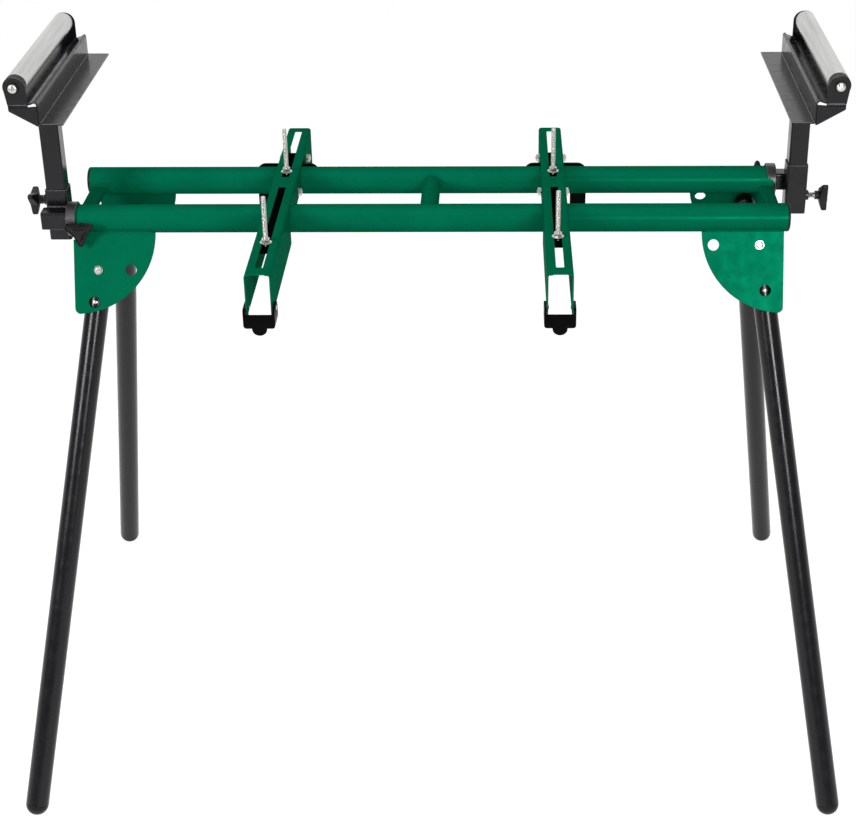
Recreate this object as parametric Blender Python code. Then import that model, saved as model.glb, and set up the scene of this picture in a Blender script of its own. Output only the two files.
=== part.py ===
"""Miter saw stand: two-rail frame, four folding legs, two saw arms and two roller supports.

Metres, +Z up. The origin is on the floor under the middle of the rails, X runs along the rails
and -Y is the side where the user stands.
"""
import math

import bmesh
import bpy
from mathutils import Matrix, Vector

# Fits between pieces
weld_gap = 0.0003
slide_gap = 0.0003
running_gap = 0.00005
bolt_gap = 0.0003
overlap = 0.0005

# Rails and crossbars
rail_length = 0.986
rail_radius = 0.0195
rail_wall = 0.002
rail_spacing = 0.148
rail_height = 0.7941
middle_bar_radius = 0.013
end_bar_radius = 0.0108
end_bar_inset = 0.0125
end_bar_drop = 0.003
bar_relief = 0.0006
bar_wall = 0.0015
end_cap_flange = 0.0028
end_cap_round = 0.0020
end_cap_plug = 0.018

# Leg brackets, in the leaning plane of each leg
leg_lean = math.radians(21.66)
bracket_end_inset = 0.0045
bracket_radius = 0.112
bracket_centre_inset = 0.001
bracket_corner = 0.008
notch_side_gap = 0.0030
notch_low_gap = 0.0053
bracket_inner_face = 0.0046
bracket_thickness = 0.003

# Legs
leg_radius = 0.016
leg_wall = 0.0015
leg_side_gap = 0.0006
leg_pivot_inset = 0.038
right_pivot_drop = 0.0378
folded_leg_gap = 0.001
foot_spread = 0.1105
foot_flat = 0.001
foot_plug = 0.025
pivot_bolt_radius = 0.004
pivot_head_radius = 0.0060
pivot_head_height = 0.0042
pivot_washer_radius = 0.0076
pivot_washer = 0.0012
pivot_nut_height = 0.0065
button_radius = 0.0055
button_flange_radius = 0.0078
button_flange = 0.002
button_tail = 0.016
button_travel = 0.004
lock_hole_radius = 0.0078

# Saw arms
left_arm_place = 0.2050
right_arm_place = 0.1740
arm_width = 0.0335
arm_sheet = 0.0025
arm_depth = 0.0570
arm_front_reach = 0.2580
arm_rear_reach = 0.1514
arm_bend = 0.004
finger_depth = 0.0340
rear_flange_reach = 0.0510
slot_radius = 0.0052
front_slot_reach = 0.2360
front_slot_inside = 0.0217
rear_slot_inside = 0.0147
rear_slot_reach = 0.1380
front_mouth = 0.010
mouth_corner = 0.003
notch_corner = 0.004
cross_bolt_radius = 0.004
cross_head_radius = 0.0072
cross_head = 0.0048
spacer_bolt_place = 0.0196
spacer_bolt_depth = 0.0245
jaw_bolt_reach = 0.0740
jaw_bolt_depth = 0.0200

# Stud plates inside the arms
strip_width = 0.016
strip_thickness = 0.003
strip_lift = 0.0009
strip_play = 0.0010
left_front_stud_reach = 0.1543
right_front_stud_reach = 0.1357
rear_stud_place = 0.0350
front_strip_lead = 0.0215
rear_strip_lead = 0.0150
front_strip_inside = 0.0120
rear_strip_reach = 0.0510
stud_radius = 0.004
stud_rise = 0.064
stud_chamfer = 0.0008
washer_radius = 0.0105
washer_thickness = 0.0014
nut_radius = 0.0078
nut_height = 0.0062

# Rear clamp jaw
jaw_width = 0.080
jaw_sheet = 0.0035
jaw_top_depth = 0.0120
jaw_low_depth = 0.0450
jaw_round = 0.012
jaw_lug_sheet = 0.003
jaw_lug_radius = 0.0085
jaw_lug_inset = 0.0012
prong_depth = 0.0760
prong_width = 0.022

# Front lever
lever_sheet = 0.003
lever_side_gap = 0.0005
lever_pin_inset = 0.0140
lever_pin_rise = 0.0060
lever_pin_radius = 0.003
lever_pin_inside = 0.0045
lever_front_gap = 0.0035
lever_low_gap = 0.0125
lever_rear_reach = 0.0130
lever_cheek_top = 0.0085
lever_front_top = 0.0020
lever_tab_drop = 0.0085
lever_tab_half = 0.0095

# Roller supports
left_support_gap = 0.0028
right_support_gap = 0.0108
bar_play = 0.001065
bar_corner = 0.003
bar_out = 0.018
bar_length = 0.420
sleeve_side = 0.030
sleeve_wall = 0.0015
sleeve_below = 0.0367
sleeve_above = 0.0359
sleeve_corner = 0.003
post_below = 0.0341
post_wall = 0.0015
post_corner = 0.0025
left_post_knob_rise = 0.0176
right_post_knob_rise = -0.0137
collar_length = 0.0135
collar_wall = 0.0037
collar_face = 0.0022
collar_knob_gap = 0.0010
collar_knob_angle = math.radians(12.0)
knob_stem_radius = 0.004
knob_hub_radius = 0.0085
knob_hub_height = 0.013
knob_neck_radius = 0.0060
knob_neck = 0.004
knob_lobe_reach = 0.0188
knob_lobe_radius = 0.0034
knob_lobe_height = 0.0095
knob_flare = 0.0055
collar_neck = 0.007
post_neck = 0.005
left_post_thread = 0.0015
right_post_thread = 0.0090
boss_radius = 0.0072
boss_height = 0.005

# Roller heads, measured from the top of the shelf and outboard from its fold
shelf_rise = 0.1639
head_half_length = 0.157
head_sheet = 0.002
shelf_width = 0.030
ridge_rise = 0.0285
ridge_width = 0.005
base_rise = 0.0255
base_start = 0.012
base_end = 0.039
gusset_tip = 0.0205
roller_out = 0.030
roller_rise = 0.0475
ear_half_width = 0.0146
ear_top_rise = 0.0133
ear_shift = 0.0018
roller_radius = 0.014
roller_side_gap = 0.0010
front_cap_length = 0.016
rear_cap_length = 0.003
roller_groove = 0.0008
roller_groove_width = 0.0015
roller_wall = 0.0015
axle_radius = 0.003
axle_head_radius = 0.0052
axle_head = 0.0034

# Proportions that hold at any size
left_button_share = 0.40
right_button_share = 0.5643
button_dome_share = 0.6
bolt_crown_share = 0.7
slot_end_share = 0.35
wing_waist_share = 1.15
tip_sweep = math.radians(78)
axle_crown_share = 0.6
steep_share = 0.9

# Finishes: base colour, metallic, roughness
green_paint = ((0.005, 0.155, 0.078), 0.0, 0.34)
black_paint = ((0.018, 0.019, 0.022), 0.0, 0.42)
black_plastic = ((0.015, 0.015, 0.016), 0.0, 0.55)
zinc_plate = ((0.72, 0.72, 0.70), 1.0, 0.30)
roller_steel = ((0.70, 0.71, 0.71), 1.0, 0.27)

fine_round = 20
round_steps = 16
bar_steps = 12
small_round = 10
corner_steps = 3
bend_steps = 2

# Rails: half length, bore, top and the collar that sits on each open end
half_rail = rail_length / 2
half_spacing = rail_spacing / 2
rail_y = {"front": -half_spacing, "rear": half_spacing}
rail_bore = rail_radius - rail_wall
rail_top = rail_height + rail_radius
collar_bore = rail_radius + weld_gap
collar_outer = collar_bore + collar_wall
collar_inner_face = half_rail + weld_gap
collar_outer_face = collar_inner_face + collar_face
collar_start = collar_outer_face - collar_length
end_bar_x = half_rail - end_bar_inset
end_bar_z = rail_height - end_bar_drop
collar_knob_x = collar_start - knob_neck_radius - collar_knob_gap

# Brackets and legs: the bracket just misses the rail, the collar is cleared by its notch, and the
# left legs hang lower by a leg so that folded legs lie one above the other
bracket_outer_x = half_rail - bracket_end_inset
bracket_top = math.sqrt(rail_radius**2 - bracket_inner_face**2) + weld_gap
leg_pivot_x = half_rail - leg_pivot_inset
foot_out_x = leg_pivot_x + foot_spread
left_pivot_drop = right_pivot_drop + leg_radius + leg_radius + folded_leg_gap
pivot_drop = {"left": left_pivot_drop, "right": right_pivot_drop}
button_reach = {
    "left": bracket_radius * left_button_share,
    "right": bracket_radius * right_button_share,
}

# Arms: the strips run in the channel just above the rails, which sets the height of the arm's top
arm_x = {"left": -left_arm_place, "right": right_arm_place}
strip_low = rail_top + strip_lift
strip_high = strip_low + strip_thickness
arm_top = strip_high + strip_play + arm_sheet
arm_bottom = arm_top - arm_depth
arm_front = rail_y["front"] - arm_front_reach
arm_rear = rail_y["rear"] + arm_rear_reach
finger_bottom = arm_top - finger_depth
rear_flange_start = rail_y["rear"] + rear_flange_reach
front_slot = (rail_y["front"] - front_slot_reach, -front_slot_inside)
rear_slot = (rear_slot_inside, rail_y["rear"] + rear_slot_reach)
spacer_bolt = (spacer_bolt_place, arm_top - spacer_bolt_depth)
jaw_bolt = (rail_y["rear"] + jaw_bolt_reach, arm_top - jaw_bolt_depth)
front_stud_y = {
    "left": rail_y["front"] - left_front_stud_reach,
    "right": rail_y["front"] - right_front_stud_reach,
}
rear_stud_y = rear_stud_place
front_strip_end = -front_strip_inside
rear_strip_end = rail_y["rear"] + rear_strip_reach
jaw_top = arm_top - jaw_top_depth
jaw_low = arm_top - jaw_low_depth
prong_low = arm_top - prong_depth
lever_pin = (arm_front + lever_pin_inset, arm_bottom + lever_pin_rise)
lever_front_reach = lever_pin_inset + lever_front_gap
lever_low_reach = lever_pin_rise + lever_low_gap

# Supports: the bar's corners run in the rail's bore, and each post stands beyond its collar
half_bar = (rail_bore - bar_play - bar_corner) / math.sqrt(2) + bar_corner
half_sleeve = sleeve_side / 2
left_support_x = collar_outer_face + left_support_gap + half_sleeve
right_support_x = collar_outer_face + right_support_gap + half_sleeve
support_x = {"left": left_support_x, "right": right_support_x}
sleeve_low = rail_height - sleeve_below
sleeve_high = rail_height + sleeve_above
post_low = rail_height - post_below
post_thread = {"left": left_post_thread, "right": right_post_thread}
post_knob_z = {
    "left": rail_height + left_post_knob_rise,
    "right": rail_height + right_post_knob_rise,
}
shelf_top = rail_height + shelf_rise

for old in list(bpy.data.objects):
    bpy.data.objects.remove(old, do_unlink=True)


def axes(origin, across, along):
    """Local frame with its X on across and its Z on along."""
    long_axis = Vector(along).normalized()
    cross_axis = Vector(across).normalized()
    third = long_axis.cross(cross_axis)
    turn = Matrix((cross_axis, third, long_axis)).transposed().to_4x4()
    return Matrix.Translation(Vector(origin)) @ turn


def arc(centre, radius, start, end, steps):
    """Points of an arc in the plane, both ends included."""
    points = []
    for step in range(steps + 1):
        angle = start + (end - start) * step / steps
        point = (centre[0] + radius * math.cos(angle), centre[1] + radius * math.sin(angle))
        points.append(point)
    return points


def rounded_box(low, high, radius, steps=corner_steps):
    """Outline of a rectangle with four equal round corners."""
    quarter = math.pi / 2
    corners = (
        (high[0] - radius, high[1] - radius),
        (low[0] + radius, high[1] - radius),
        (low[0] + radius, low[1] + radius),
        (high[0] - radius, low[1] + radius),
    )
    points = []
    for turn, corner in enumerate(corners):
        points += arc(corner, radius, turn * quarter, (turn + 1) * quarter, steps)
    return points


def prism(outline, low, high, place):
    """Closed solid: an outline carried from low to high along the local Z."""
    body = bmesh.new()
    under = [body.verts.new((x, y, low)) for x, y in outline]
    over = [body.verts.new((x, y, high)) for x, y in outline]
    count = len(outline)
    body.faces.new(list(reversed(under)))
    body.faces.new(over)
    for spot in range(count):
        after = (spot + 1) % count
        body.faces.new((under[spot], under[after], over[after], over[spot]))
    return finish_body(body, place)


def turned(profile, place, steps):
    """Closed solid turned round the local Z from (radius, height) points."""
    body = bmesh.new()
    rings = []
    for radius, height in profile:
        if radius == 0:
            rings.append([body.verts.new((0, 0, height))])
            continue
        ring = []
        for step in range(steps):
            angle = 2 * math.pi * step / steps
            spot = (radius * math.cos(angle), radius * math.sin(angle), height)
            ring.append(body.verts.new(spot))
        rings.append(ring)
    pairs = list(zip(rings, rings[1:]))
    if profile[0][0] != 0:
        pairs.append((rings[-1], rings[0]))
    for first, second in pairs:
        for step in range(steps):
            after = (step + 1) % steps
            corners = [first[step % len(first)], first[after % len(first)]]
            corners += [second[after % len(second)], second[step % len(second)]]
            kept = []
            for corner in corners:
                if corner not in kept:
                    kept.append(corner)
            if len(kept) > 2:
                body.faces.new(kept)
    return finish_body(body, place)


def finish_body(body, place):
    """Turn a bmesh into a placed object with outward faces."""
    body.transform(place)
    bmesh.ops.recalc_face_normals(body, faces=body.faces)
    mesh = bpy.data.meshes.new("piece")
    body.to_mesh(mesh)
    body.free()
    thing = bpy.data.objects.new("piece", mesh)
    bpy.context.scene.collection.objects.link(thing)
    return thing


def apply_modifiers(thing):
    """Keep the evaluated shape of an object as its mesh."""
    graph = bpy.context.evaluated_depsgraph_get()
    shape = bpy.data.meshes.new_from_object(thing.evaluated_get(graph))
    thing.modifiers.clear()
    thing.data = shape


def combine(base, other, operation):
    """Join other to base, or cut it out of base."""
    step = base.modifiers.new("combine", "BOOLEAN")
    step.operation = operation
    step.solver = "EXACT"
    step.object = other
    bpy.context.view_layer.update()
    apply_modifiers(base)
    bpy.data.objects.remove(other, do_unlink=True)
    return base


def cut(base, *tools):
    for tool in tools:
        combine(base, tool, "DIFFERENCE")
    return base


def join(base, *others):
    for other in others:
        combine(base, other, "UNION")
    return base


def node(name, thing, finish, pivot=(0, 0, 0)):
    """Name a solid, give it its own finish and put its origin on its joint."""
    thing.name = name
    thing.data.name = name
    centre = Vector(pivot)
    thing.data.transform(Matrix.Translation(-centre))
    thing.location = centre
    colour, metallic, roughness = finish
    paint = bpy.data.materials.new(name + "_finish")
    paint.use_nodes = True
    shader = paint.node_tree.nodes["Principled BSDF"]
    shader.inputs["Base Color"].default_value = (*colour, 1.0)
    shader.inputs["Metallic"].default_value = metallic
    shader.inputs["Roughness"].default_value = roughness
    thing.data.materials.clear()
    thing.data.materials.append(paint)
    for face in thing.data.polygons:
        face.material_index = 0
    return thing


def hexagon(radius):
    return arc((0, 0), radius, 0, 2 * math.pi * 5 / 6, 5)


east = Vector((1, 0, 0))
north = Vector((0, 1, 0))
up = Vector((0, 0, 1))


def rod(start, along, radius, length, steps=bar_steps):
    """Plain cylinder from a start point."""
    across = up if abs(Vector(along).normalized().z) < steep_share else east
    place = axes(start, across - along * along.dot(across), along)
    profile = ((0, 0), (radius, 0), (radius, length), (0, length))
    return turned(profile, place, steps)


def running_bore(start, along, radius, length):
    """Cutter whose flats keep the radius, so that a faceted pin can turn in the hole."""
    edge = radius / math.cos(math.pi / small_round)
    return rod(start, along, edge, length, small_round)


# Rails: open tubes. The extension bar of one roller support runs in each of them
knob_hole = {"front": -1, "rear": 1}


def collar_direction(side):
    lean = knob_hole[side]
    return Vector((0, lean * math.cos(collar_knob_angle), -math.sin(collar_knob_angle)))


for side, open_end in (("front", -1), ("rear", 1)):
    place = axes((-half_rail, rail_y[side], rail_height), up, east)
    profile = (
        (rail_radius, 0),
        (rail_radius, rail_length),
        (rail_bore, rail_length),
        (rail_bore, 0),
    )
    rail = turned(profile, place, fine_round)
    hole_start = Vector((open_end * collar_knob_x, rail_y[side], rail_height))
    hole = rod(hole_start, collar_direction(side), knob_stem_radius + bolt_gap, 2 * rail_radius)
    cut(rail, hole)
    node(side + "_rail", rail, green_paint)

# Crossbars: tubes with saddle ends that sit against the rails
for name, bar_x, bar_z, radius in (
    ("left_crossbar", -end_bar_x, end_bar_z, end_bar_radius),
    ("middle_crossbar", 0, rail_height, middle_bar_radius),
    ("right_crossbar", end_bar_x, end_bar_z, end_bar_radius),
):
    place = axes((bar_x, -half_spacing, bar_z), east, north)
    inside = radius - bar_wall
    profile = ((radius, 0), (radius, rail_spacing), (inside, rail_spacing), (inside, 0))
    bar = turned(profile, place, bar_steps)
    for side in ("front", "rear"):
        saddle_start = (-half_rail, rail_y[side], rail_height)
        saddle = rod(saddle_start, east, rail_radius + weld_gap, rail_length, fine_round)
        cut(bar, saddle)
    node(name, bar, green_paint)

# Plain end caps close the rail ends without a support
for side, end in (("front", 1), ("rear", -1)):
    place = axes((end * half_rail, rail_y[side], rail_height), up, east * end)
    plug_radius = rail_bore - slide_gap
    plug_bore = plug_radius - rail_wall
    flange_top = weld_gap + end_cap_flange
    profile = [(0, -rail_wall), (plug_bore, -rail_wall), (plug_bore, -end_cap_plug)]
    profile += [(plug_radius, -end_cap_plug), (plug_radius, weld_gap), (rail_radius, weld_gap)]
    rim = arc(
        (rail_radius - end_cap_round, flange_top - end_cap_round),
        end_cap_round,
        0,
        math.pi / 2,
        corner_steps,
    )
    profile += rim
    profile.append((0, flange_top))
    node(side + "_rail_end_cap", turned(profile, place, fine_round), black_plastic)

# Legs: each works in its own leaning plane. down runs down the plane, out is its outward side
plate_outer_face = bracket_inner_face + bracket_thickness
leg_plane = bracket_inner_face - leg_side_gap - leg_radius
collar_corners = {"front": "front_left", "rear": "rear_right"}

for side, end in (("front", -1), ("rear", 1)):
    down = Vector((0, end * math.sin(leg_lean), -math.cos(leg_lean)))
    out = Vector((0, end * math.cos(leg_lean), math.sin(leg_lean)))
    rail_axis = Vector((0, rail_y[side], rail_height))
    collar_corner = collar_corners[side]
    for hand, way in (("left", -1), ("right", 1)):
        label = side + "_" + hand
        outboard = east * way
        drop = pivot_drop[hand]
        pivot = rail_axis + outboard * leg_pivot_x + down * drop + out * leg_plane

        # The foot stands on the floor at foot_out_x, which sets the leg's length and its splay
        ball_height = leg_radius - foot_flat
        fall = (pivot.z - ball_height) / math.cos(leg_lean)
        splay = math.atan2(foot_out_x - leg_pivot_x, fall)
        leg_length = fall / math.cos(splay)
        leg_way = outboard * math.sin(splay) + down * math.cos(splay)
        folded_way = -outboard
        reach = button_reach[hand]
        button_spot = pivot + leg_way * reach
        folded_spot = pivot + folded_way * reach
        ball = pivot + leg_way * leg_length

        # Bracket: quarter disc welded under the rail, with pivot hole and two lock holes. It is
        # notched at the corner where a collar sits on the rail
        plane = axes(rail_axis, outboard, out)
        sense = plane.to_3x3().col[1].dot(down)
        disc_x = bracket_outer_x - bracket_centre_inset
        disc_y = bracket_top
        outline = [(bracket_outer_x, sense * disc_y)]
        if collar_corner == label:
            notch_x = collar_start - notch_side_gap
            notch_y = sense * (collar_outer + notch_low_gap)
            outline = [(notch_x, sense * disc_y), (notch_x, notch_y), (bracket_outer_x, notch_y)]
        corner_x = bracket_outer_x - bracket_corner
        corner_y = bracket_top + bracket_radius - bracket_corner
        for px, py in arc((corner_x, corner_y), bracket_corner, 0, math.pi / 2, corner_steps):
            outline.append((px, sense * py))
        arc_start = math.pi / 2 + bracket_corner / bracket_radius
        for px, py in arc((disc_x, disc_y), bracket_radius, arc_start, math.pi, round_steps):
            outline.append((px, sense * py))
        plate = prism(outline, bracket_inner_face, plate_outer_face, plane)
        probe = out * leg_radius * 2
        cut(plate, rod(pivot, out, pivot_bolt_radius + bolt_gap, probe.length, small_round))
        for spot in (button_spot, folded_spot):
            cut(plate, rod(spot, out, lock_hole_radius, probe.length))
        node(label + "_bracket", plate, green_paint)

        # Pivot bolt with a washer and nut inside the leg
        head_base = plate_outer_face - leg_plane + weld_gap
        washer_low = -leg_radius - weld_gap - pivot_washer
        nut_low = washer_low - pivot_nut_height
        profile = [(0, nut_low), (pivot_head_radius, nut_low)]
        profile += [(pivot_head_radius, washer_low), (pivot_washer_radius, washer_low)]
        washer_top = washer_low + pivot_washer
        profile += [(pivot_washer_radius, washer_top), (pivot_bolt_radius, washer_top)]
        washer_out = head_base + pivot_washer
        profile += [(pivot_bolt_radius, head_base), (pivot_washer_radius, head_base)]
        profile += [(pivot_washer_radius, washer_out), (pivot_head_radius, washer_out)]
        dome_start = washer_out + pivot_head_height / 2
        profile.append((pivot_head_radius, dome_start))
        for step in (1, 2):
            angle = math.pi / 6 * step
            radius = pivot_head_radius * math.cos(angle)
            height = dome_start + pivot_head_height / 2 * math.sin(angle)
            profile.append((radius, height))
        profile.append((0, washer_out + pivot_head_height))
        bolt = turned(profile, axes(pivot, outboard, out), small_round)
        node(label + "_pivot_bolt", bolt, zinc_plate)

        # Leg tube with a round top end, cross bore for the bolt and a hole for the button
        tube_end = leg_length
        inner = leg_radius - leg_wall
        profile = [(0, -leg_radius)]
        for step in range(1, corner_steps + 1):
            angle = math.pi / 2 * (1 - step / corner_steps)
            profile.append((leg_radius * math.cos(angle), -leg_radius * math.sin(angle)))
        profile += [(leg_radius, tube_end), (inner, tube_end), (inner, 0)]
        for step in range(1, bend_steps):
            angle = math.pi / 2 * step / bend_steps
            profile.append((inner * math.cos(angle), -inner * math.sin(angle)))
        profile.append((0, -inner))
        tube = turned(profile, axes(pivot, out, leg_way), round_steps)
        bore_start = pivot - out * probe.length
        bolt_bore = pivot_bolt_radius + running_gap
        cut(tube, running_bore(bore_start, out, bolt_bore, 2 * probe.length))
        cut(tube, rod(button_spot, out, button_radius + slide_gap, probe.length, small_round))
        node(label + "_leg_tube", tube, black_paint, pivot)

        # Foot cap: ball end with a flat on the floor and a plug in the tube
        plug_radius = inner - slide_gap
        profile = [(0, -foot_plug), (plug_radius, -foot_plug), (plug_radius, weld_gap)]
        profile.append((leg_radius, weld_gap))
        for step in range(1, 2 * bend_steps):
            angle = math.pi / 2 * step / (2 * bend_steps)
            profile.append((leg_radius * math.cos(angle), weld_gap + leg_radius * math.sin(angle)))
        profile.append((0, weld_gap + leg_radius))
        cap = turned(profile, axes(ball, out, leg_way), round_steps)
        reach = 2 * leg_radius
        floor_outline = [(-reach, -reach), (reach, -reach), (reach, reach), (-reach, reach)]
        floor_cut = prism(floor_outline, -reach, 0, axes((ball.x, ball.y, 0), east, up))
        cut(cap, floor_cut)
        node(label + "_foot_cap", cap, black_plastic, pivot)

        # Snap button, pressed in at rest so that the leg can swing past the bracket
        tip = bracket_inner_face - leg_plane - slide_gap
        inner_face = inner * math.cos(math.pi / round_steps)
        flange_room = math.sqrt(inner_face**2 - button_flange_radius**2)
        flange_top = flange_room - button_travel - 2 * slide_gap
        flange_low = flange_top - button_flange
        profile = [(0, flange_low - button_tail), (button_radius, flange_low - button_tail)]
        profile += [(button_radius, flange_low), (button_flange_radius, flange_low)]
        profile += [(button_flange_radius, flange_top), (button_radius, flange_top)]
        dome_low = tip - button_radius * button_dome_share
        profile.append((button_radius, dome_low))
        for step in (1, 2):
            angle = math.pi / 6 * step
            height = dome_low + (tip - dome_low) * math.sin(angle)
            profile.append((button_radius * math.cos(angle), height))
        profile.append((0, tip))
        button = turned(profile, axes(button_spot, outboard, out), small_round)
        node(label + "_snap_button", button, zinc_plate, button_spot)

# Saw arms: folded channels across both rails
half_arm = arm_width / 2
inside_arm = half_arm - arm_sheet
notch_top = rail_top + slide_gap
front_edge = rail_y["front"] - rail_radius - slide_gap
rail_clear = rail_radius + slide_gap
past_arm = arm_width
arm_length = arm_rear - arm_front


def side_prism(outline, low, high, centre_x):
    """Outline in Y and Z, carried along X."""
    place = Matrix.Translation((centre_x, 0, 0)) @ Matrix(
        ((0, 0, 1, 0), (1, 0, 0, 0), (0, 1, 0, 0), (0, 0, 0, 1))
    )
    return prism(outline, low, high, place)


def cross_bolt(centre_x, spot, name):
    """Bolt along X with a round head outside each flange."""
    face = half_arm + weld_gap
    end = face + cross_head
    ring = face + cross_head / 2
    profile = [(0, -end), (cross_head_radius * bolt_crown_share, -end), (cross_head_radius, -ring)]
    profile += [(cross_head_radius, -face), (cross_bolt_radius, -face)]
    profile += [(cross_bolt_radius, face), (cross_head_radius, face)]
    profile += [(cross_head_radius, ring), (cross_head_radius * bolt_crown_share, end), (0, end)]
    place = axes((centre_x, spot[0], spot[1]), up, east)
    return node(name, turned(profile, place, small_round), zinc_plate)


def stud_plate(centre_x, stud_y, strip_from, strip_to, name):
    """Threaded stud with nut and washer, welded on a strip that runs in the channel."""
    half = strip_width / 2
    corner = half / 2
    outline = rounded_box((centre_x - half, strip_from), (centre_x + half, strip_to), corner)
    strip = prism(outline, strip_low, strip_high, Matrix.Identity(4))
    stud_top = arm_top + stud_rise
    seat = arm_top + slide_gap
    nut_low = seat + washer_thickness
    stud_start = strip_low + overlap
    shank = stud_radius - stud_chamfer
    profile = [(0, stud_start), (stud_radius, stud_start), (stud_radius, seat)]
    profile += [(washer_radius, seat), (washer_radius, nut_low), (stud_radius, nut_low)]
    profile += [(stud_radius, stud_top - stud_chamfer), (shank, stud_top), (0, stud_top)]
    spot = Matrix.Translation((centre_x, stud_y, 0))
    stud = turned(profile, spot, small_round)
    nut = prism(hexagon(nut_radius), nut_low - overlap, nut_low + nut_height, spot)
    join(stud, nut, strip)
    return node(name, stud, zinc_plate, (centre_x, stud_y, arm_top))


for hand, way in (("left", -1), ("right", 1)):
    centre_x = arm_x[hand]
    label = hand + "_arm"

    # Channel: top plate and two flanges, cut away over the rails
    outline = [(-half_arm, arm_bottom)]
    outline += reversed(
        arc((-half_arm + arm_bend, arm_top - arm_bend), arm_bend, math.pi / 2, math.pi, corner_steps)
    )
    outline += reversed(
        arc((half_arm - arm_bend, arm_top - arm_bend), arm_bend, 0, math.pi / 2, corner_steps)
    )
    outline.append((half_arm, arm_bottom))
    outline.append((inside_arm, arm_bottom))
    inner_bend = arm_bend - arm_sheet
    ceiling = arm_top - arm_sheet
    fold_z = ceiling - inner_bend
    fold_x = inside_arm - inner_bend
    outline += arc((fold_x, fold_z), inner_bend, 0, math.pi / 2, bend_steps)
    outline += arc((-fold_x, fold_z), inner_bend, math.pi / 2, math.pi, bend_steps)
    outline.append((-inside_arm, arm_bottom))
    channel_place = axes((centre_x, arm_front, 0), east, north)
    flip = channel_place.to_3x3().col[1].z
    channel = prism([(px, flip * pz) for px, pz in outline], 0, arm_length, channel_place)
    below = arm_bottom - arm_width
    front_over = rail_y["front"] + rail_clear
    rear_over = rail_y["rear"] - rail_clear
    front_notch = rounded_box((front_edge, below), (front_over, notch_top), notch_corner)
    rear_notch = rounded_box((rear_over, below), (rear_flange_start, notch_top), notch_corner)
    inset = notch_corner
    finger_cut = rounded_box(
        (front_over - inset, below), (rear_over + inset, finger_bottom), notch_corner / 2
    )
    for notch in (front_notch, rear_notch, finger_cut):
        cut(channel, side_prism(notch, -past_arm, past_arm, centre_x))
    for start, end in (front_slot, rear_slot):
        slot_end = slot_radius * slot_end_share
        slot_low = (centre_x - slot_radius, start)
        slot = rounded_box(slot_low, (centre_x + slot_radius, end), slot_end)
        cut(channel, prism(slot, rail_top, arm_top + past_arm, Matrix.Identity(4)))
    mouth = rounded_box(
        (centre_x - front_mouth, arm_front - front_mouth),
        (centre_x + front_mouth, arm_front + mouth_corner / 2),
        mouth_corner / 2,
    )
    cut(channel, prism(mouth, rail_top, arm_top + past_arm, Matrix.Identity(4)))
    bore_start = Vector((centre_x - past_arm, 0, 0))
    for spot, radius in (
        (spacer_bolt, cross_bolt_radius + bolt_gap),
        (jaw_bolt, cross_bolt_radius + bolt_gap),
        (lever_pin, lever_pin_radius + running_gap),
    ):
        start = bore_start + north * spot[0] + up * spot[1]
        cut(channel, running_bore(start, east, radius, 2 * past_arm))
    node(label + "_channel", channel, green_paint, (centre_x, 0, rail_height))

    cross_bolt(centre_x, spacer_bolt, label + "_spacer_bolt")
    cross_bolt(centre_x, jaw_bolt, label + "_jaw_bolt")

    stud_y = front_stud_y[hand]
    stud_plate(centre_x, stud_y, stud_y - front_strip_lead, front_strip_end, label + "_front_stud")
    rear_from = rear_stud_y - rear_strip_lead
    stud_plate(centre_x, rear_stud_y, rear_from, rear_strip_end, label + "_rear_stud")

    # Jaw: wide plate behind the rear rail on two lugs, with a release prong outboard
    jaw_front = rail_y["rear"] + rail_radius + slide_gap
    jaw_back = jaw_front + jaw_sheet
    half_jaw = jaw_width / 2
    round_top = arc(
        (half_jaw - jaw_round, jaw_top - jaw_round), jaw_round, 0, math.pi / 2, corner_steps
    )
    outline = [(half_jaw, prong_low)] + round_top
    outline += [(-px, pz) for px, pz in reversed(round_top)]
    outline += [(-half_jaw, jaw_low), (half_jaw - prong_width, jaw_low)]
    outline.append((half_jaw - prong_width, prong_low))
    face = axes((centre_x, jaw_front, 0), east * way, north)
    turn = face.to_3x3().col[1].z
    jaw = prism([(px, turn * pz) for px, pz in outline], 0, jaw_sheet, face)
    lug_y = jaw_bolt[0]
    lug_z = jaw_bolt[1]
    lug_low = lug_z - jaw_lug_radius
    lug_high = lug_z + jaw_lug_radius
    nose = arc((lug_y, lug_z), jaw_lug_radius, -math.pi / 2, math.pi / 2, 2 * corner_steps)
    lug = [(jaw_front + overlap, lug_high), (jaw_front + overlap, lug_low)] + nose
    lug_outer = inside_arm - jaw_lug_inset
    lug_inner = lug_outer - jaw_lug_sheet
    for low, high in ((lug_inner, lug_outer), (-lug_outer, -lug_inner)):
        join(jaw, side_prism(lug, low, high, centre_x))
    bolt_start = Vector((centre_x - past_arm, lug_y, lug_z))
    bolt_bore = cross_bolt_radius + running_gap
    cut(jaw, running_bore(bolt_start, east, bolt_bore, 2 * past_arm))
    node(label + "_jaw", jaw, black_paint, (centre_x, lug_y, lug_z))

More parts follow.
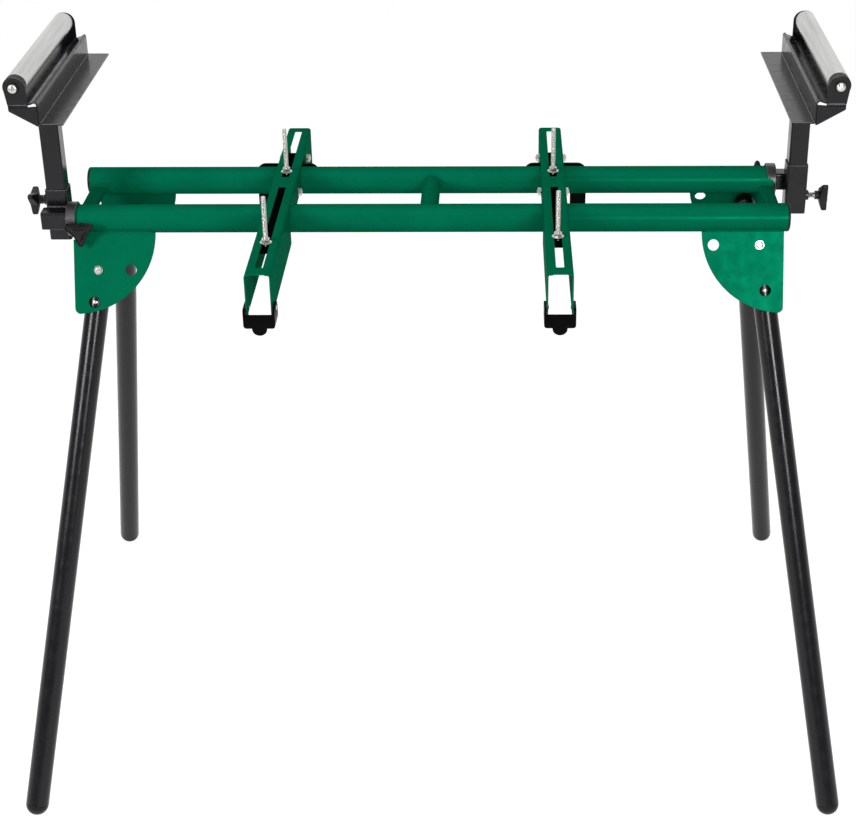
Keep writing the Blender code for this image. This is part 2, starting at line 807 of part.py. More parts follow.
    # Lever: folded black cup round the flange tips, with its pins turning in the flanges
    pin_y, pin_z = lever_pin
    cheek_inner = half_arm + lever_side_gap
    cheek_outer = cheek_inner + lever_sheet
    front_in = pin_y - lever_front_reach
    front_out = front_in - lever_sheet
    low_in = pin_z - lever_low_reach
    low_out = low_in - lever_sheet
    back = pin_y + lever_rear_reach
    cheek_top = pin_z + lever_cheek_top
    cheek = [(front_out, low_out), (back, low_out), (back, pin_z)]
    cheek += arc((pin_y, pin_z), lever_cheek_top, 0, math.pi / 2, corner_steps)[1:]
    cheek += [(front_out + lever_sheet, cheek_top), (front_out, pin_z)]
    lever = side_prism(cheek, cheek_inner, cheek_outer, centre_x)
    join(lever, side_prism(cheek, -cheek_outer, -cheek_inner, centre_x))
    wall_top = pin_z - lever_front_top
    wall = rounded_box((front_out, low_out), (front_in, wall_top), lever_sheet / 4)
    reach_in = cheek_inner + overlap
    join(lever, side_prism(wall, -reach_in, reach_in, centre_x))
    floor = rounded_box((front_out, low_out), (back, low_in), lever_sheet / 4)
    join(lever, side_prism(floor, -reach_in, reach_in, centre_x))
    tab = [(-lever_tab_half, low_out + overlap), (lever_tab_half, low_out + overlap)]
    tab_radius = lever_tab_drop
    for step in range(2 * corner_steps + 1):
        angle = -math.pi * step / (2 * corner_steps)
        tab.append((lever_tab_half * math.cos(angle), low_out + tab_radius * math.sin(angle)))
    tab_face = axes((centre_x, front_out, 0), east, north)
    tab_turn = tab_face.to_3x3().col[1].z
    join(lever, prism([(px, tab_turn * pz) for px, pz in tab], 0, lever_sheet, tab_face))
    pin_end = inside_arm - lever_pin_inside
    for sign in (-1, 1):
        pin_start = Vector((centre_x + sign * pin_end, pin_y, pin_z))
        pin_length = cheek_outer - pin_end + overlap
        join(lever, rod(pin_start, east * sign, lever_pin_radius, pin_length, small_round))
    node(label + "_lever", lever, black_paint, (centre_x, pin_y, pin_z))


def tri_knob(origin, along, stem, thread, neck_length, turn, name):
    """Three-wing knob: stem behind the origin, then open thread, neck and flared wings."""
    side = along.cross(up).normalized()
    place = axes(origin, side, along)
    spin = Matrix.Rotation(turn, 4, "Z")
    place = place @ spin
    neck = thread + neck_length
    profile = [(0, -stem), (knob_stem_radius, -stem), (knob_stem_radius, thread)]
    profile += [(knob_neck_radius, thread), (knob_neck_radius, neck)]
    hub_top = neck + knob_hub_height
    round_off = knob_hub_radius / 4
    profile += [(knob_hub_radius, neck), (knob_hub_radius, hub_top - round_off)]
    profile += [(knob_hub_radius - round_off, hub_top), (0, hub_top)]
    knob = turned(profile, place, small_round)
    lobe_low = neck + (knob_hub_height - knob_lobe_height) / 2
    waist = knob_hub_radius * wing_waist_share
    star = []
    for lobe in range(3):
        swing = Matrix.Rotation(2 * math.pi / 3 * lobe, 2)
        tip = arc((knob_lobe_reach, 0), knob_lobe_radius, -tip_sweep, tip_sweep, corner_steps + 1)
        between = (waist * math.cos(math.pi / 3), waist * math.sin(math.pi / 3))
        star += [swing @ Vector(point) for point in tip + [between]]
    wings = prism(star, lobe_low, lobe_low + knob_lobe_height, place)
    join(knob, wings)
    inside = knob_neck_radius + weld_gap
    rim = knob_lobe_reach + 2 * knob_lobe_radius
    under = [(inside, neck + weld_gap), (rim, neck + knob_flare)]
    under += [(rim, neck - overlap), (inside, neck - overlap)]
    cut(knob, turned(under, place, small_round))
    return node(name, knob, black_plastic, origin)


# Roller supports: the same parts at both ends, turned half round about the middle of the stand
for hand, way in (("left", -1), ("right", 1)):
    side = "front" if hand == "left" else "rear"
    outboard = east * way
    axis_y = rail_y[side]
    label = hand + "_support"
    centre_x = support_x[hand]
    post_half = sleeve_side / 2 - sleeve_wall - slide_gap
    near_face = half_spacing - half_bar - weld_gap
    post_y = way * (near_face - half_sleeve)
    post_centre = Vector((way * centre_x, post_y, 0))

    # Extension bar inside the rail
    bar_hollow = half_bar - bar_wall
    outer_end = centre_x + bar_out
    bar_place = axes((way * outer_end, axis_y, rail_height), up, -outboard)
    bar = prism(
        rounded_box((-half_bar, -half_bar), (half_bar, half_bar), bar_corner),
        0,
        bar_length,
        bar_place,
    )
    core = prism(
        rounded_box((-bar_hollow, -bar_hollow), (bar_hollow, bar_hollow), bar_corner / 2),
        -overlap,
        bar_length + overlap,
        bar_place,
    )
    cut(bar, core)
    node(label + "_extension_bar", bar, black_paint, (way * centre_x, axis_y, rail_height))

    # Collar on the rail end, with a square hole for the bar
    collar_place = axes((0, axis_y, rail_height), up, outboard)
    bevel = collar_face / 2
    profile = [(0, collar_inner_face), (collar_bore, collar_inner_face), (collar_bore, collar_start)]
    profile += [(collar_outer, collar_start), (collar_outer, collar_outer_face - bevel)]
    profile += [(collar_outer - bevel, collar_outer_face), (0, collar_outer_face)]
    collar = turned(profile, collar_place, fine_round)
    window_half = half_bar + slide_gap
    window = prism(
        rounded_box((-window_half, -window_half), (window_half, window_half), bar_corner),
        half_rail - collar_length,
        half_rail + collar_length,
        collar_place,
    )
    relief_start = Vector((way * end_bar_x, axis_y, end_bar_z))
    relief = rod(relief_start, north * -way, end_bar_radius + bar_relief, 2 * rail_radius)
    cut(collar, window, relief)
    node(label + "_collar", collar, black_plastic)

    # Collar knob: its stem passes the rail wall and stops short of the bar
    direction = collar_direction(side)
    knob_seat = rail_radius + slide_gap
    knob_centre = Vector((way * collar_knob_x, axis_y, rail_height)) + direction * knob_seat
    stem_reach = knob_seat - half_bar / math.cos(collar_knob_angle) - 3 * slide_gap
    stem_reach -= knob_stem_radius * math.tan(collar_knob_angle)
    turn = math.radians(90 if hand == "left" else -90)
    tri_knob(knob_centre, direction, stem_reach, 0, collar_neck, turn, label + "_collar_knob")

    # Upright sleeve welded to the inner side of the bar
    sleeve_hole = half_sleeve - sleeve_wall
    sleeve_place = Matrix.Translation(post_centre)
    sleeve = prism(
        rounded_box((-half_sleeve, -half_sleeve), (half_sleeve, half_sleeve), sleeve_corner),
        sleeve_low,
        sleeve_high,
        sleeve_place,
    )
    boss_start = post_centre + outboard * (half_sleeve - overlap) + up * post_knob_z[hand]
    boss = rod(boss_start, outboard, boss_radius, boss_height + overlap, small_round)
    join(sleeve, boss)
    hollow = prism(
        rounded_box((-sleeve_hole, -sleeve_hole), (sleeve_hole, sleeve_hole), post_corner),
        sleeve_low - overlap,
        sleeve_high + overlap,
        sleeve_place,
    )
    cut(sleeve, hollow)
    thread_start = boss_start - outboard * 2 * sleeve_wall
    thread_radius = knob_stem_radius + bolt_gap
    cut(sleeve, rod(thread_start, outboard, thread_radius, half_sleeve, small_round))
    node(label + "_sleeve", sleeve, black_paint, (way * centre_x, axis_y, rail_height))

    # Post-lock knob
    post_seat = half_sleeve + boss_height + slide_gap
    post_knob_centre = post_centre + outboard * post_seat + up * post_knob_z[hand]
    post_stem = post_seat - post_half - 2 * slide_gap
    thread = post_thread[hand]
    turn = math.radians(90 if hand == "left" else 63)
    tri_knob(post_knob_centre, outboard, post_stem, thread, post_neck, turn, label + "_post_knob")

    # Square post
    base_under = shelf_top + base_rise - head_sheet
    post_top = base_under - weld_gap
    post_hollow = post_half - post_wall
    post = prism(
        rounded_box((-post_half, -post_half), (post_half, post_half), post_corner),
        post_low,
        post_top,
        sleeve_place,
    )
    core = prism(
        rounded_box((-post_hollow, -post_hollow), (post_hollow, post_hollow), post_corner / 2),
        post_low - overlap,
        post_top + overlap,
        sleeve_place,
    )
    cut(post, core)
    head_pivot = post_centre + up * shelf_top
    node(label + "_post", post, black_paint, head_pivot)

    # Roller bracket: one folded sheet. Its wall stands against the inboard face of the post
    fold_x = centre_x - post_half - weld_gap - head_sheet
    head_place = Matrix.Translation((way * fold_x, 0, shelf_top))
    section = [(-shelf_width, 0), (0, 0), (0, ridge_rise), (ridge_width, ridge_rise)]
    section += [(base_start, base_rise), (base_end, base_rise)]
    under = base_rise - head_sheet
    section += [(base_end, under), (base_start, under)]
    section += [(ridge_width - head_sheet / 2, ridge_rise - head_sheet)]
    section += [(head_sheet, ridge_rise - head_sheet), (head_sheet, -head_sheet)]
    section.append((-shelf_width, -head_sheet))
    head_frame = head_place @ axes((0, 0, 0), outboard, north)
    lift = head_frame.to_3x3().col[1].z
    half_head = head_half_length
    shaped = [(px, lift * pz) for px, pz in section]
    head = prism(shaped, -half_head, half_head, head_frame)
    gusset = [(head_sheet / 2, -head_sheet), (head_sheet * 2, -head_sheet)]
    gusset += [(base_end, gusset_tip), (base_end, base_rise - head_sheet / 2)]
    gusset.append((head_sheet / 2, base_rise - head_sheet / 2))
    ear_out = roller_out - ear_shift
    ear_round = roller_rise + ear_top_rise - ear_half_width
    ear = [(ear_out - ear_half_width, base_rise - head_sheet / 2)]
    ear.append((ear_out + ear_half_width, base_rise - head_sheet / 2))
    ear += arc((ear_out, ear_round), ear_half_width, 0, math.pi, 3 * corner_steps)
    gusset_shape = [(px, lift * pz) for px, pz in gusset]
    ear_shape = [(px, lift * pz) for px, pz in ear]
    for low, high in ((-half_head, head_sheet - half_head), (half_head - head_sheet, half_head)):
        join(head, prism(gusset_shape, low, high, head_frame))
        join(head, prism(ear_shape, low, high, head_frame))
    axle_spot = Vector((way * (fold_x + roller_out), 0, shelf_top + roller_rise))
    axle_hole = rod(
        axle_spot - north * 2 * half_head, north, axle_radius + bolt_gap, 4 * half_head, small_round
    )
    cut(head, axle_hole)
    node(label + "_roller_bracket", head, black_paint, head_pivot)

    # Axle bolt through both ears
    head_face = half_head + weld_gap
    head_end = head_face + axle_head
    profile = [(0, -head_end), (axle_head_radius * axle_crown_share, -head_end + axle_head / 6)]
    profile += [(axle_head_radius, -head_face - axle_head / 3), (axle_head_radius, -head_face)]
    profile += [(axle_radius, -head_face), (axle_radius, head_face)]
    profile += [(axle_head_radius, head_face), (axle_head_radius, head_face + axle_head / 3)]
    profile += [(axle_head_radius * axle_crown_share, head_end - axle_head / 6), (0, head_end)]
    axle = turned(profile, axes(axle_spot, east, north), small_round)
    node(label + "_roller_axle", axle, zinc_plate, head_pivot)

    # Roller: a tube turning on the axle, with a long grooved cap at the front and a short rear one
    roller_half = half_head - head_sheet - roller_side_gap
    bore = (axle_radius + running_gap) / math.cos(math.pi / bar_steps)
    groove = roller_radius - roller_groove
    front_shell = front_cap_length - roller_half
    rear_shell = roller_half - rear_cap_length
    profile = [(bore, -roller_half), (roller_radius, -roller_half)]
    for turn in (1, 2):
        low = turn * front_cap_length / 3 - roller_half
        high = low + roller_groove_width
        profile += [(roller_radius, low), (groove, low), (groove, high), (roller_radius, high)]
    profile += [(roller_radius, roller_half), (bore, roller_half)]
    hollow = roller_radius - roller_wall
    profile += [(bore, rear_shell), (hollow, rear_shell), (hollow, front_shell), (bore, front_shell)]
    roller = turned(profile, axes(axle_spot, east, north), bar_steps)
    node(label + "_roller", roller, roller_steel, axle_spot)
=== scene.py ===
import math

import bmesh
import bpy
import numpy as np
from mathutils import Matrix, Vector
from mathutils.geometry import tessellate_polygon


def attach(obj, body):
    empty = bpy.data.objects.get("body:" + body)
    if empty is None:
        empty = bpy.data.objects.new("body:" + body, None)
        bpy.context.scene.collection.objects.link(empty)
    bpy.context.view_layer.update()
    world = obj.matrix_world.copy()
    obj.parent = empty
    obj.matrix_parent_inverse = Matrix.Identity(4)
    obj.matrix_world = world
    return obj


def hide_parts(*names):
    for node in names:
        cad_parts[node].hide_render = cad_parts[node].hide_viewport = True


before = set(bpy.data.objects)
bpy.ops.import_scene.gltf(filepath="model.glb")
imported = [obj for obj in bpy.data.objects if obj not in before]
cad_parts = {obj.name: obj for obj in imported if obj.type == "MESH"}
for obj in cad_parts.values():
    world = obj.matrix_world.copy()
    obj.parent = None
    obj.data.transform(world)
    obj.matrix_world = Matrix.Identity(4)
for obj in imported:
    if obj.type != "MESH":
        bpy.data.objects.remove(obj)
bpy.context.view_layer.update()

world_x = np.array((1.0, 0.0, 0.0))
world_y = np.array((0.0, 1.0, 0.0))
world_z = np.array((0.0, 0.0, 1.0))

# Rails: two round steel tubes that carry the whole stand. Drawn tube, welded up with the crossbars
# and then powder coated green in one go, so beads and tubes share one coat.
rail_length = 0.986
rail_radius = 0.0195
rail_bore = 0.0175
rail_y = {"front": -0.074, "rear": 0.074}
rail_height = 0.7941


def new_node(tree, kind, values={}, links={}, **settings):
    """One shader node with its settings, the plain values of its inputs, and the links into them."""
    node = tree.nodes.new("ShaderNode" + kind)
    for name, value in settings.items():
        setattr(node, name, value)
    for socket, value in values.items():
        node.inputs[socket].default_value = value
    for socket, source in links.items():
        tree.links.new(source, node.inputs[socket])
    return node


def shader_nodes(name, colour, metallic, roughness, shine):
    """A new material and its Principled shader, with the plain values set on the shader's sockets."""
    coat = bpy.data.materials.new(name)
    coat.use_nodes = True
    shader = coat.node_tree.nodes["Principled BSDF"]
    shader.inputs["Base Color"].default_value = (*colour, 1.0)
    shader.inputs["Metallic"].default_value = metallic
    shader.inputs["Roughness"].default_value = roughness
    shader.inputs["Specular IOR Level"].default_value = shine
    return coat, coat.node_tree, shader


def grain(tree, scale, detail, stretch=(1.0, 1.0, 1.0)):
    """Noise over the object's own coordinates, stretched along each axis."""
    place = new_node(tree, "TexCoord").outputs["Object"]
    turn = new_node(tree, "Mapping", {"Scale": stretch}, {"Vector": place}).outputs["Vector"]
    return new_node(tree, "TexNoise", {"Scale": scale, "Detail": detail}, {"Vector": turn}).outputs["Fac"]


def spread(tree, value, low, high):
    """Stretch a noise, which stays near one half, to the range low to high."""
    reach = 0.18
    values = {"From Min": 0.5 - reach, "From Max": 0.5 + reach, "To Min": low, "To Max": high}
    return new_node(tree, "MapRange", values, {"Value": value}).outputs["Result"]


def tint(tree, value, first, second):
    """Colour that goes from first to second as a noise goes up."""
    share = spread(tree, value, 0.0, 1.0)
    ends = {6: (*first, 1.0), 7: (*second, 1.0)}
    return new_node(tree, "Mix", ends, {0: share}, data_type="RGBA").outputs[2]


def finish(name, metallic, roughness, shine, colours, clouds, wear, skin):
    """Material made of three noises: clouds of colour, wear in the roughness, and a bumpy skin. Each
    ends with its noise's scale, detail and stretch. Wear starts with how far the roughness goes down
    and up, and skin with the bump's strength and its real depth in metres."""
    coat, tree, shader = shader_nodes(name, colours[0], metallic, roughness, shine)
    tree.links.new(tint(tree, grain(tree, *clouds), *colours), shader.inputs["Base Color"])
    down, up, *pattern = wear
    wear_and_sheen = spread(tree, grain(tree, *pattern), roughness - down, roughness + up)
    tree.links.new(wear_and_sheen, shader.inputs["Roughness"])
    strength, depth, *pattern = skin
    bump = new_node(tree, "Bump", {"Strength": strength, "Distance": depth},
                    {"Height": grain(tree, *pattern)})
    tree.links.new(bump.outputs["Normal"], shader.inputs["Normal"])
    return coat


def powder_coat(name, colour, pale, roughness, shine, flake=0.0):
    """Baked powder paint: an even colour with faint clouds, and a fine orange-peel skin. Flake is the
    share of metal flakes in it, which give highlights the colour of the paint."""
    return finish(name, flake, roughness, shine, (colour, pale), clouds=(16.0, 3.0),
                  wear=(0.05, 0.07, 70.0, 4.0), skin=(0.09, 0.0002, 620.0, 2.0))


green_coat = powder_coat("green_powder_coat", (0.0005, 0.126, 0.061), (0.0008, 0.138, 0.067), 0.27, 0.0,
                         flake=0.085)
green_shader = green_coat.node_tree.nodes["Principled BSDF"]
green_shader.inputs["Specular Tint"].default_value = (0.02, 0.85, 0.50, 1.0)


def side_axes(along):
    """Two unit directions square to along and to each other."""
    along = along / np.linalg.norm(along)
    rough = world_z if abs(along[2]) < 0.9 else world_x
    first = rough - along * (rough @ along)
    first /= np.linalg.norm(first)
    return first, np.cross(along, first), along


def net(rows, columns, start=0, close_rows=False):
    """Quads over a grid of points, joined up round the columns and, if asked, round the rows."""
    row = np.arange(rows if close_rows else rows - 1)[:, None] * columns
    column = np.arange(columns)[None, :]
    next_row = (row + columns) % (rows * columns)
    next_column = (column + 1) % columns
    quads = np.stack((row + column, row + next_column, next_row + next_column, next_row + column), axis=-1)
    return (quads.reshape(-1, 4) + start).tolist()


def around(steps, first, second):
    """Unit directions of a full turn, from first towards second, and their angles."""
    angle = np.linspace(0, 2 * math.pi, steps, endpoint=False)
    return np.cos(angle)[:, None] * first + np.sin(angle)[:, None] * second, angle


def turned(profile, origin, along, steps=96, closed=False):
    """Surface of revolution: each (radius, height) of the profile swept round the axis through origin."""
    first, second, axis = side_axes(along)
    radius, height = np.asarray(profile, float).T[:, :, None, None]
    points = origin + radius * around(steps, first, second)[0] + height * axis
    return points.reshape(-1, 3), net(len(radius), steps, close_rows=closed)


def bent(centre_x, centre_y, radius, start, end, steps):
    """Points of an arc, from the start angle to the end angle in degrees."""
    angle = np.radians(np.linspace(start, end, steps))
    return np.stack((centre_x + radius * np.cos(angle), centre_y + radius * np.sin(angle)), axis=1)


def placed(name, data):
    """A new object of the scene, at the origin."""
    piece = bpy.data.objects.new(name, data)
    bpy.context.scene.collection.objects.link(piece)
    return piece


def clean_mesh(name, points, faces, gap, thin=0.0):
    """Mesh with its doubles merged, its thinnest faces dissolved if asked, and its faces outward."""
    mesh = bpy.data.meshes.new(name)
    mesh.from_pydata(points.tolist(), [], faces)
    work = bmesh.new()
    work.from_mesh(mesh)
    bmesh.ops.remove_doubles(work, verts=work.verts, dist=gap)
    if thin:
        bmesh.ops.dissolve_degenerate(work, edges=work.edges, dist=thin)
    bmesh.ops.recalc_face_normals(work, faces=work.faces)
    work.to_mesh(mesh)
    work.free()
    return mesh


def shade(piece, fold):
    """Smooth but for folds sharper than the given angle in degrees."""
    piece.data.shade_smooth()
    piece.data.set_sharp_from_angle(angle=math.radians(fold))


def keep_flat(piece):
    """Shade by face area, so that broad flat faces stay flat beside their small round edges."""
    step = piece.modifiers.new("flat_faces", "WEIGHTED_NORMAL")
    step.mode = "FACE_AREA"
    step.weight = 80
    step.keep_sharp = True


def make_piece(name, shapes, coat, body, nodes, fold=32.0):
    """One piece of the stand from several surfaces, on its body, and in place of its CAD nodes."""
    faces = []
    start = 0
    for points, patches in shapes:
        faces += [[corner + start for corner in patch] for patch in patches]
        start += len(points)
    piece = placed(name, clean_mesh(name, np.concatenate([points for points, _ in shapes]), faces,
                                    gap=0.000002, thin=0.000001))
    shade(piece, fold)
    piece.data.materials.append(coat)
    keep_flat(piece)
    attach(piece, body)
    if nodes:
        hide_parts(*nodes)
    return piece


for side in ("front", "rear"):
    edge = 0.0004
    half = rail_length / 2
    outer = rail_radius
    profile = [(rail_bore, -half + edge), (rail_bore + edge, -half), (outer - edge, -half)]
    profile += [(outer, -half + edge), (outer, half - edge), (outer - edge, half)]
    profile += [(rail_bore + edge, half), (rail_bore, half - edge)]
    tube = turned(profile, (0, rail_y[side], rail_height), world_x, closed=True)
    make_piece(side + "_rail_tube", [tube], green_coat, "frame", [side + "_rail"])

# Crossbars: a round middle tube and two flat oval end tubes between the rails, their ends cut to fit.
# Each end is welded all round, and the bead shows its row of overlapping pools under the paint.
bar_places = {"left": (-0.4805, 0.7866, 0.0108, 0.0063), "middle": (0.0, 0.7941, 0.0130, 0.0130),
              "right": (0.4805, 0.7866, 0.0108, 0.0063)}
bar_wall = 0.0015


def bead(path, radius, pools, closed=True, sides=14):
    """Weld bead: a round rope along a path whose thickness swells and shrinks once for each pool."""
    if closed:
        ahead = np.roll(path, -1, axis=0) - np.roll(path, 1, axis=0)
        outward = path - path.mean(axis=0)
    else:
        ahead = np.gradient(path, axis=0)
        outward = np.tile(side_axes(path[-1] - path[0])[0], (len(path), 1))
    ahead /= np.linalg.norm(ahead, axis=1)[:, None]
    outward -= ahead * np.sum(outward * ahead, axis=1)[:, None]
    outward /= np.linalg.norm(outward, axis=1)[:, None]
    share = np.linspace(0, 1, len(path), endpoint=not closed)
    swell = radius * (1 + 0.16 * np.abs(np.sin(math.pi * pools * share)))
    if not closed:
        swell *= np.sqrt(np.clip(1 - (2 * share - 1) ** 16, 0, 1))
    ring = around(sides, outward[:, None], np.cross(ahead, outward)[:, None])[0]
    points = path[:, None] + swell[:, None, None] * ring
    return points.reshape(-1, 3), net(len(path), sides, close_rows=closed)


def saddle(bar, grow, gap, sign, steps):
    """Rim of a crossbar's end: two half circles set apart to make up the bar's width, and each point
    carried out to the round rail, which is half the rails' spacing less the rail's chord."""
    bar_x, bar_z, half_width, half_height = bar
    turn = np.linspace(0, 2 * math.pi, steps, endpoint=False)
    apart = (half_width - half_height) * np.tanh(6 * np.cos(turn))
    rim_x = bar_x + ((half_height + grow) * np.cos(turn) + apart)
    rim_z = bar_z + (half_height + grow) * np.sin(turn)
    reach = rail_y["rear"] - np.sqrt((rail_radius + gap) ** 2 - (rim_z - rail_height) ** 2)
    return np.stack((rim_x, sign * reach, rim_z), axis=1)


for name, bar in bar_places.items():
    walls = ((0, -1), (0, 1), (-bar_wall, 1), (-bar_wall, -1))
    ends = [saddle(bar, grow, 0.0003, sign, 96) for grow, sign in walls]
    tube = (np.concatenate(ends), net(4, 96, close_rows=True))
    make_piece(name + "_crossbar_tube", [tube], green_coat, "frame", [name + "_crossbar"])
    beads = [bead(saddle(bar, 0.0006, 0.0002, sign, 240), 0.0016, 26) for sign in (-1, 1)]
    make_piece(name + "_crossbar_welds", beads, green_coat, "frame", [])

# Rail end caps: moulded black plugs that close the two rail ends without a support. Their stepped
# shank is pushed into the tube, and a thin round-edged flange stays outside.


def moulded_plastic(name, colour, roughness, shine):
    """Moulded nylon: matt black with a fine spark-eroded grain."""
    lighter = tuple(1.5 * part for part in colour)
    return finish(name, 0.0, roughness, shine, (colour, lighter), clouds=(240.0, 3.0),
                  wear=(0.07, 0.08, 90.0, 3.0), skin=(0.35, 0.00015, 1400.0, 2.0))


black_plastic = moulded_plastic("moulded_black_plastic", (0.0040, 0.0040, 0.0046), 0.38, 0.22)

for side, end in (("front", 1), ("rear", -1)):
    flange, edge = 0.0028, 0.0020
    profile = [(0, -0.002), (0.0152, -0.002), (0.0152, -0.018), (0.0172, -0.018), (0.0172, 0.0003),
               (rail_radius, 0.0003), *bent(rail_radius - edge, flange - 0.0017, edge, 0, 90, 9),
               (0.006, flange + 0.0003), (0, flange + 0.00035)]
    cap = turned(profile, (end * rail_length / 2, rail_y[side], rail_height), world_x * end)
    make_piece(side + "_rail_plug", [cap], black_plastic, "frame",
               [side + "_rail_end_cap"])

# Leg brackets: quarter discs of 3 mm plate, punched with a pivot hole and two lock holes, and
# welded under the rails in the leaning plane of each leg.
lean = math.radians(21.66)
plate_inner = 0.0046
plate_outer = 0.0076
leg_plane = 0.0046 - 0.0006 - 0.0160
pivot_x = 0.455
pivot_drop = {"left": 0.0708, "right": 0.0378}
button_reach = {"left": 0.0448, "right": 0.0632}
foot_x = 0.5655
leg_radius = 0.0160
foot_flat = 0.001


def leg_frame(side, hand):
    """Directions and points of one leg: outboard, down and out of its plane, pivot, and leg way."""
    end = -1 if side == "front" else 1
    way = -1 if hand == "left" else 1
    down = np.array((0.0, end * math.sin(lean), -math.cos(lean)))
    out = np.array((0.0, end * math.cos(lean), math.sin(lean)))
    axis_point = np.array((0.0, rail_y[side], rail_height))
    outboard = world_x * way
    pivot = axis_point + outboard * pivot_x + down * pivot_drop[hand] + out * leg_plane
    fall = (pivot[2] - leg_radius + foot_flat) / math.cos(lean)
    splay = math.atan2(foot_x - pivot_x, fall)
    leg_way = outboard * math.sin(splay) + down * math.cos(splay)
    return {"label": side + "_" + hand, "outboard": outboard, "down": down, "out": out,
            "axis_point": axis_point, "pivot": pivot, "way": leg_way, "length": fall / math.cos(splay),
            "button": pivot + leg_way * button_reach[hand],
            "folded": pivot - outboard * button_reach[hand]}


legs = [leg_frame(side, hand) for side in ("front", "rear") for hand in ("left", "right")]


def plate(loops, low, high, rim, origin, across, along, normal):
    """Flat piece with holes: each loop, material on its left, is carried from low to high along the
    normal, its two rims drawn in on a quarter circle, and both faces are filled between the loops."""
    bend = np.radians(np.linspace(0, 90, 4))
    rise, draw = rim * (1 - np.cos(bend)), rim * (1 - np.sin(bend))
    inset = np.concatenate((draw, rise)) if rim else np.zeros(2)
    height = np.concatenate((low + rise, high - draw)) if rim else np.array((low, high))
    rows = len(inset)
    points, faces, start = [], [], 0
    lids, keys = ([], []), ([], [])
    for loop in loops:
        edge = np.roll(loop, -1, axis=0) - loop
        edge /= np.linalg.norm(edge, axis=1)[:, None]
        left = np.stack((-edge[:, 1], edge[:, 0]), axis=1)
        before = np.roll(left, 1, axis=0)
        mitre = (left + before) / (1 + np.sum(left * before, axis=1))[:, None]
        rings = loop + inset[:, None, None] * mitre
        spots = origin + rings[..., :1] * across + rings[..., 1:] * along + height[:, None, None] * normal
        count = len(loop)
        points.append(spots.reshape(-1, 3))
        faces += net(rows, count, start)
        for lid, key, row in zip(lids, keys, (0, rows - 1)):
            lid.append([Vector((x, y, 0)) for x, y in rings[row].tolist()])
            key.extend(range(start + row * count, start + (row + 1) * count))
        start += rows * count
    for lid, key in zip(lids, keys):
        faces += [[key[corner] for corner in patch] for patch in tessellate_polygon(lid)]
    return np.concatenate(points), faces


def ring_hole(centre_x, centre_y, radius, steps=48):
    """Round hole: a circle taken clockwise, so that the material is on its left."""
    return bent(centre_x, centre_y, radius, 360, 0, steps + 1)[:-1]


disc_x, disc_y, disc_radius = 0.4875, 0.0193, 0.112
edge_x, notch, corner = 0.4885, 0.0095, 0.008

for leg in legs:
    label, origin, outboard, down = leg["label"], leg["axis_point"], leg["outboard"], leg["down"]
    notched = label in ("front_left", "rear_right")
    last_x = edge_x - notch if notched else edge_x
    outline = [(disc_x - disc_radius, disc_y), (last_x, disc_y)]
    outline += [(last_x, disc_y + notch), (edge_x, disc_y + notch)] if notched else []
    outline = np.concatenate((outline,
                              bent(edge_x - corner, disc_y + disc_radius - corner, corner, 0, 86, 10),
                              bent(disc_x, disc_y, disc_radius, 94, 179.4, 60)))
    holes = [ring_hole((leg[spot] - origin) @ outboard, (leg[spot] - origin) @ down, radius)
             for spot, radius in (("pivot", 0.0043), ("button", 0.0078), ("folded", 0.0078))]
    disc = plate([outline] + holes, plate_inner, plate_outer, 0.0005, origin, outboard, down, leg["out"])
    make_piece(label + "_bracket_plate", [disc], green_coat, "frame", [label + "_bracket"])
    along = np.linspace(disc_x - disc_radius + 0.004, last_x - 0.0025, 160)
    welds = []
    for depth, drop in ((plate_outer - 0.0004, 0.0186), (plate_inner + 0.0004, 0.0192)):
        path = origin + along[:, None] * outboard + drop * down
        welds.append(bead(path + depth * leg["out"], 0.0014, 34, closed=False))
    make_piece(label + "_bracket_welds", welds, green_coat, "frame", [])

# Legs: black powder-coated tubes with a pressed round top end. Each hangs on its pivot bolt inside
# the bracket and ends in a moulded round foot, which is kept flat on the floor.
leg_wall = 0.0015
foot_radius = leg_radius - 0.0002
black_coat = powder_coat("black_powder_coat", (0.0026, 0.0026, 0.0036), (0.0042, 0.0042, 0.0058), 0.22, 0.31)

for leg in legs:
    label, length, bore = leg["label"], leg["length"], leg_radius - leg_wall
    profile = np.concatenate((bent(0, 0, leg_radius, -90, 0, 20), [(leg_radius, length), (bore, length)],
                              bent(0, 0, bore, 0, -90, 12)))
    make_piece(label + "_leg", [turned(profile, leg["pivot"], leg["way"], 72)], black_coat,
               label + "_leg", [label + "_leg_tube"])
    profile = [(0, -0.025), (0.0130, -0.025), (0.0142, -0.0235), (0.0142, 0.0003), (0.0155, 0.0003),
               (foot_radius, 0.0008), *bent(0, 0.0003, foot_radius, 0, 90, 28)[1:]]
    points, faces = turned(profile, leg["pivot"] + leg["way"] * length, leg["way"], 72)
    points[:, 2] = np.maximum(points[:, 2], 0.0)
    make_piece(label + "_foot", [(points, faces)], black_plastic, label + "_leg",
               [label + "_foot_cap"])

# Pivot bolts: zinc-plated pan heads with a washer against the bracket, the nut inside the leg.
# Snap buttons: turned steel pins with a round nose behind the lock hole, pushed out by a spring.
# The plate is a bright metal with faint yellow clouds and hair scratches.
zinc = finish("bright_zinc_plate", 1.0, 0.25, 0.5, ((0.55, 0.55, 0.54), (0.55, 0.5335, 0.486)),
              clouds=(120.0, 3.0), wear=(0.08, 0.10, 400.0, 4.0), skin=(0.25, 0.00008, 900.0, 3.0))


def cross_slot(origin, along, radius, depth, width):
    """Blind cross recess: the outline of a plus sign, carried down as a cutter."""
    half = width / 2
    arm = np.array([(half, half), (half, radius), (-half, radius)])
    corner = np.concatenate((arm, [(-half, half), (-radius, half), (-radius, -half)], -arm,
                             [(half, -half), (radius, -half), (radius, half)]))
    return plate([corner], -depth, depth, 0, origin, *side_axes(along))


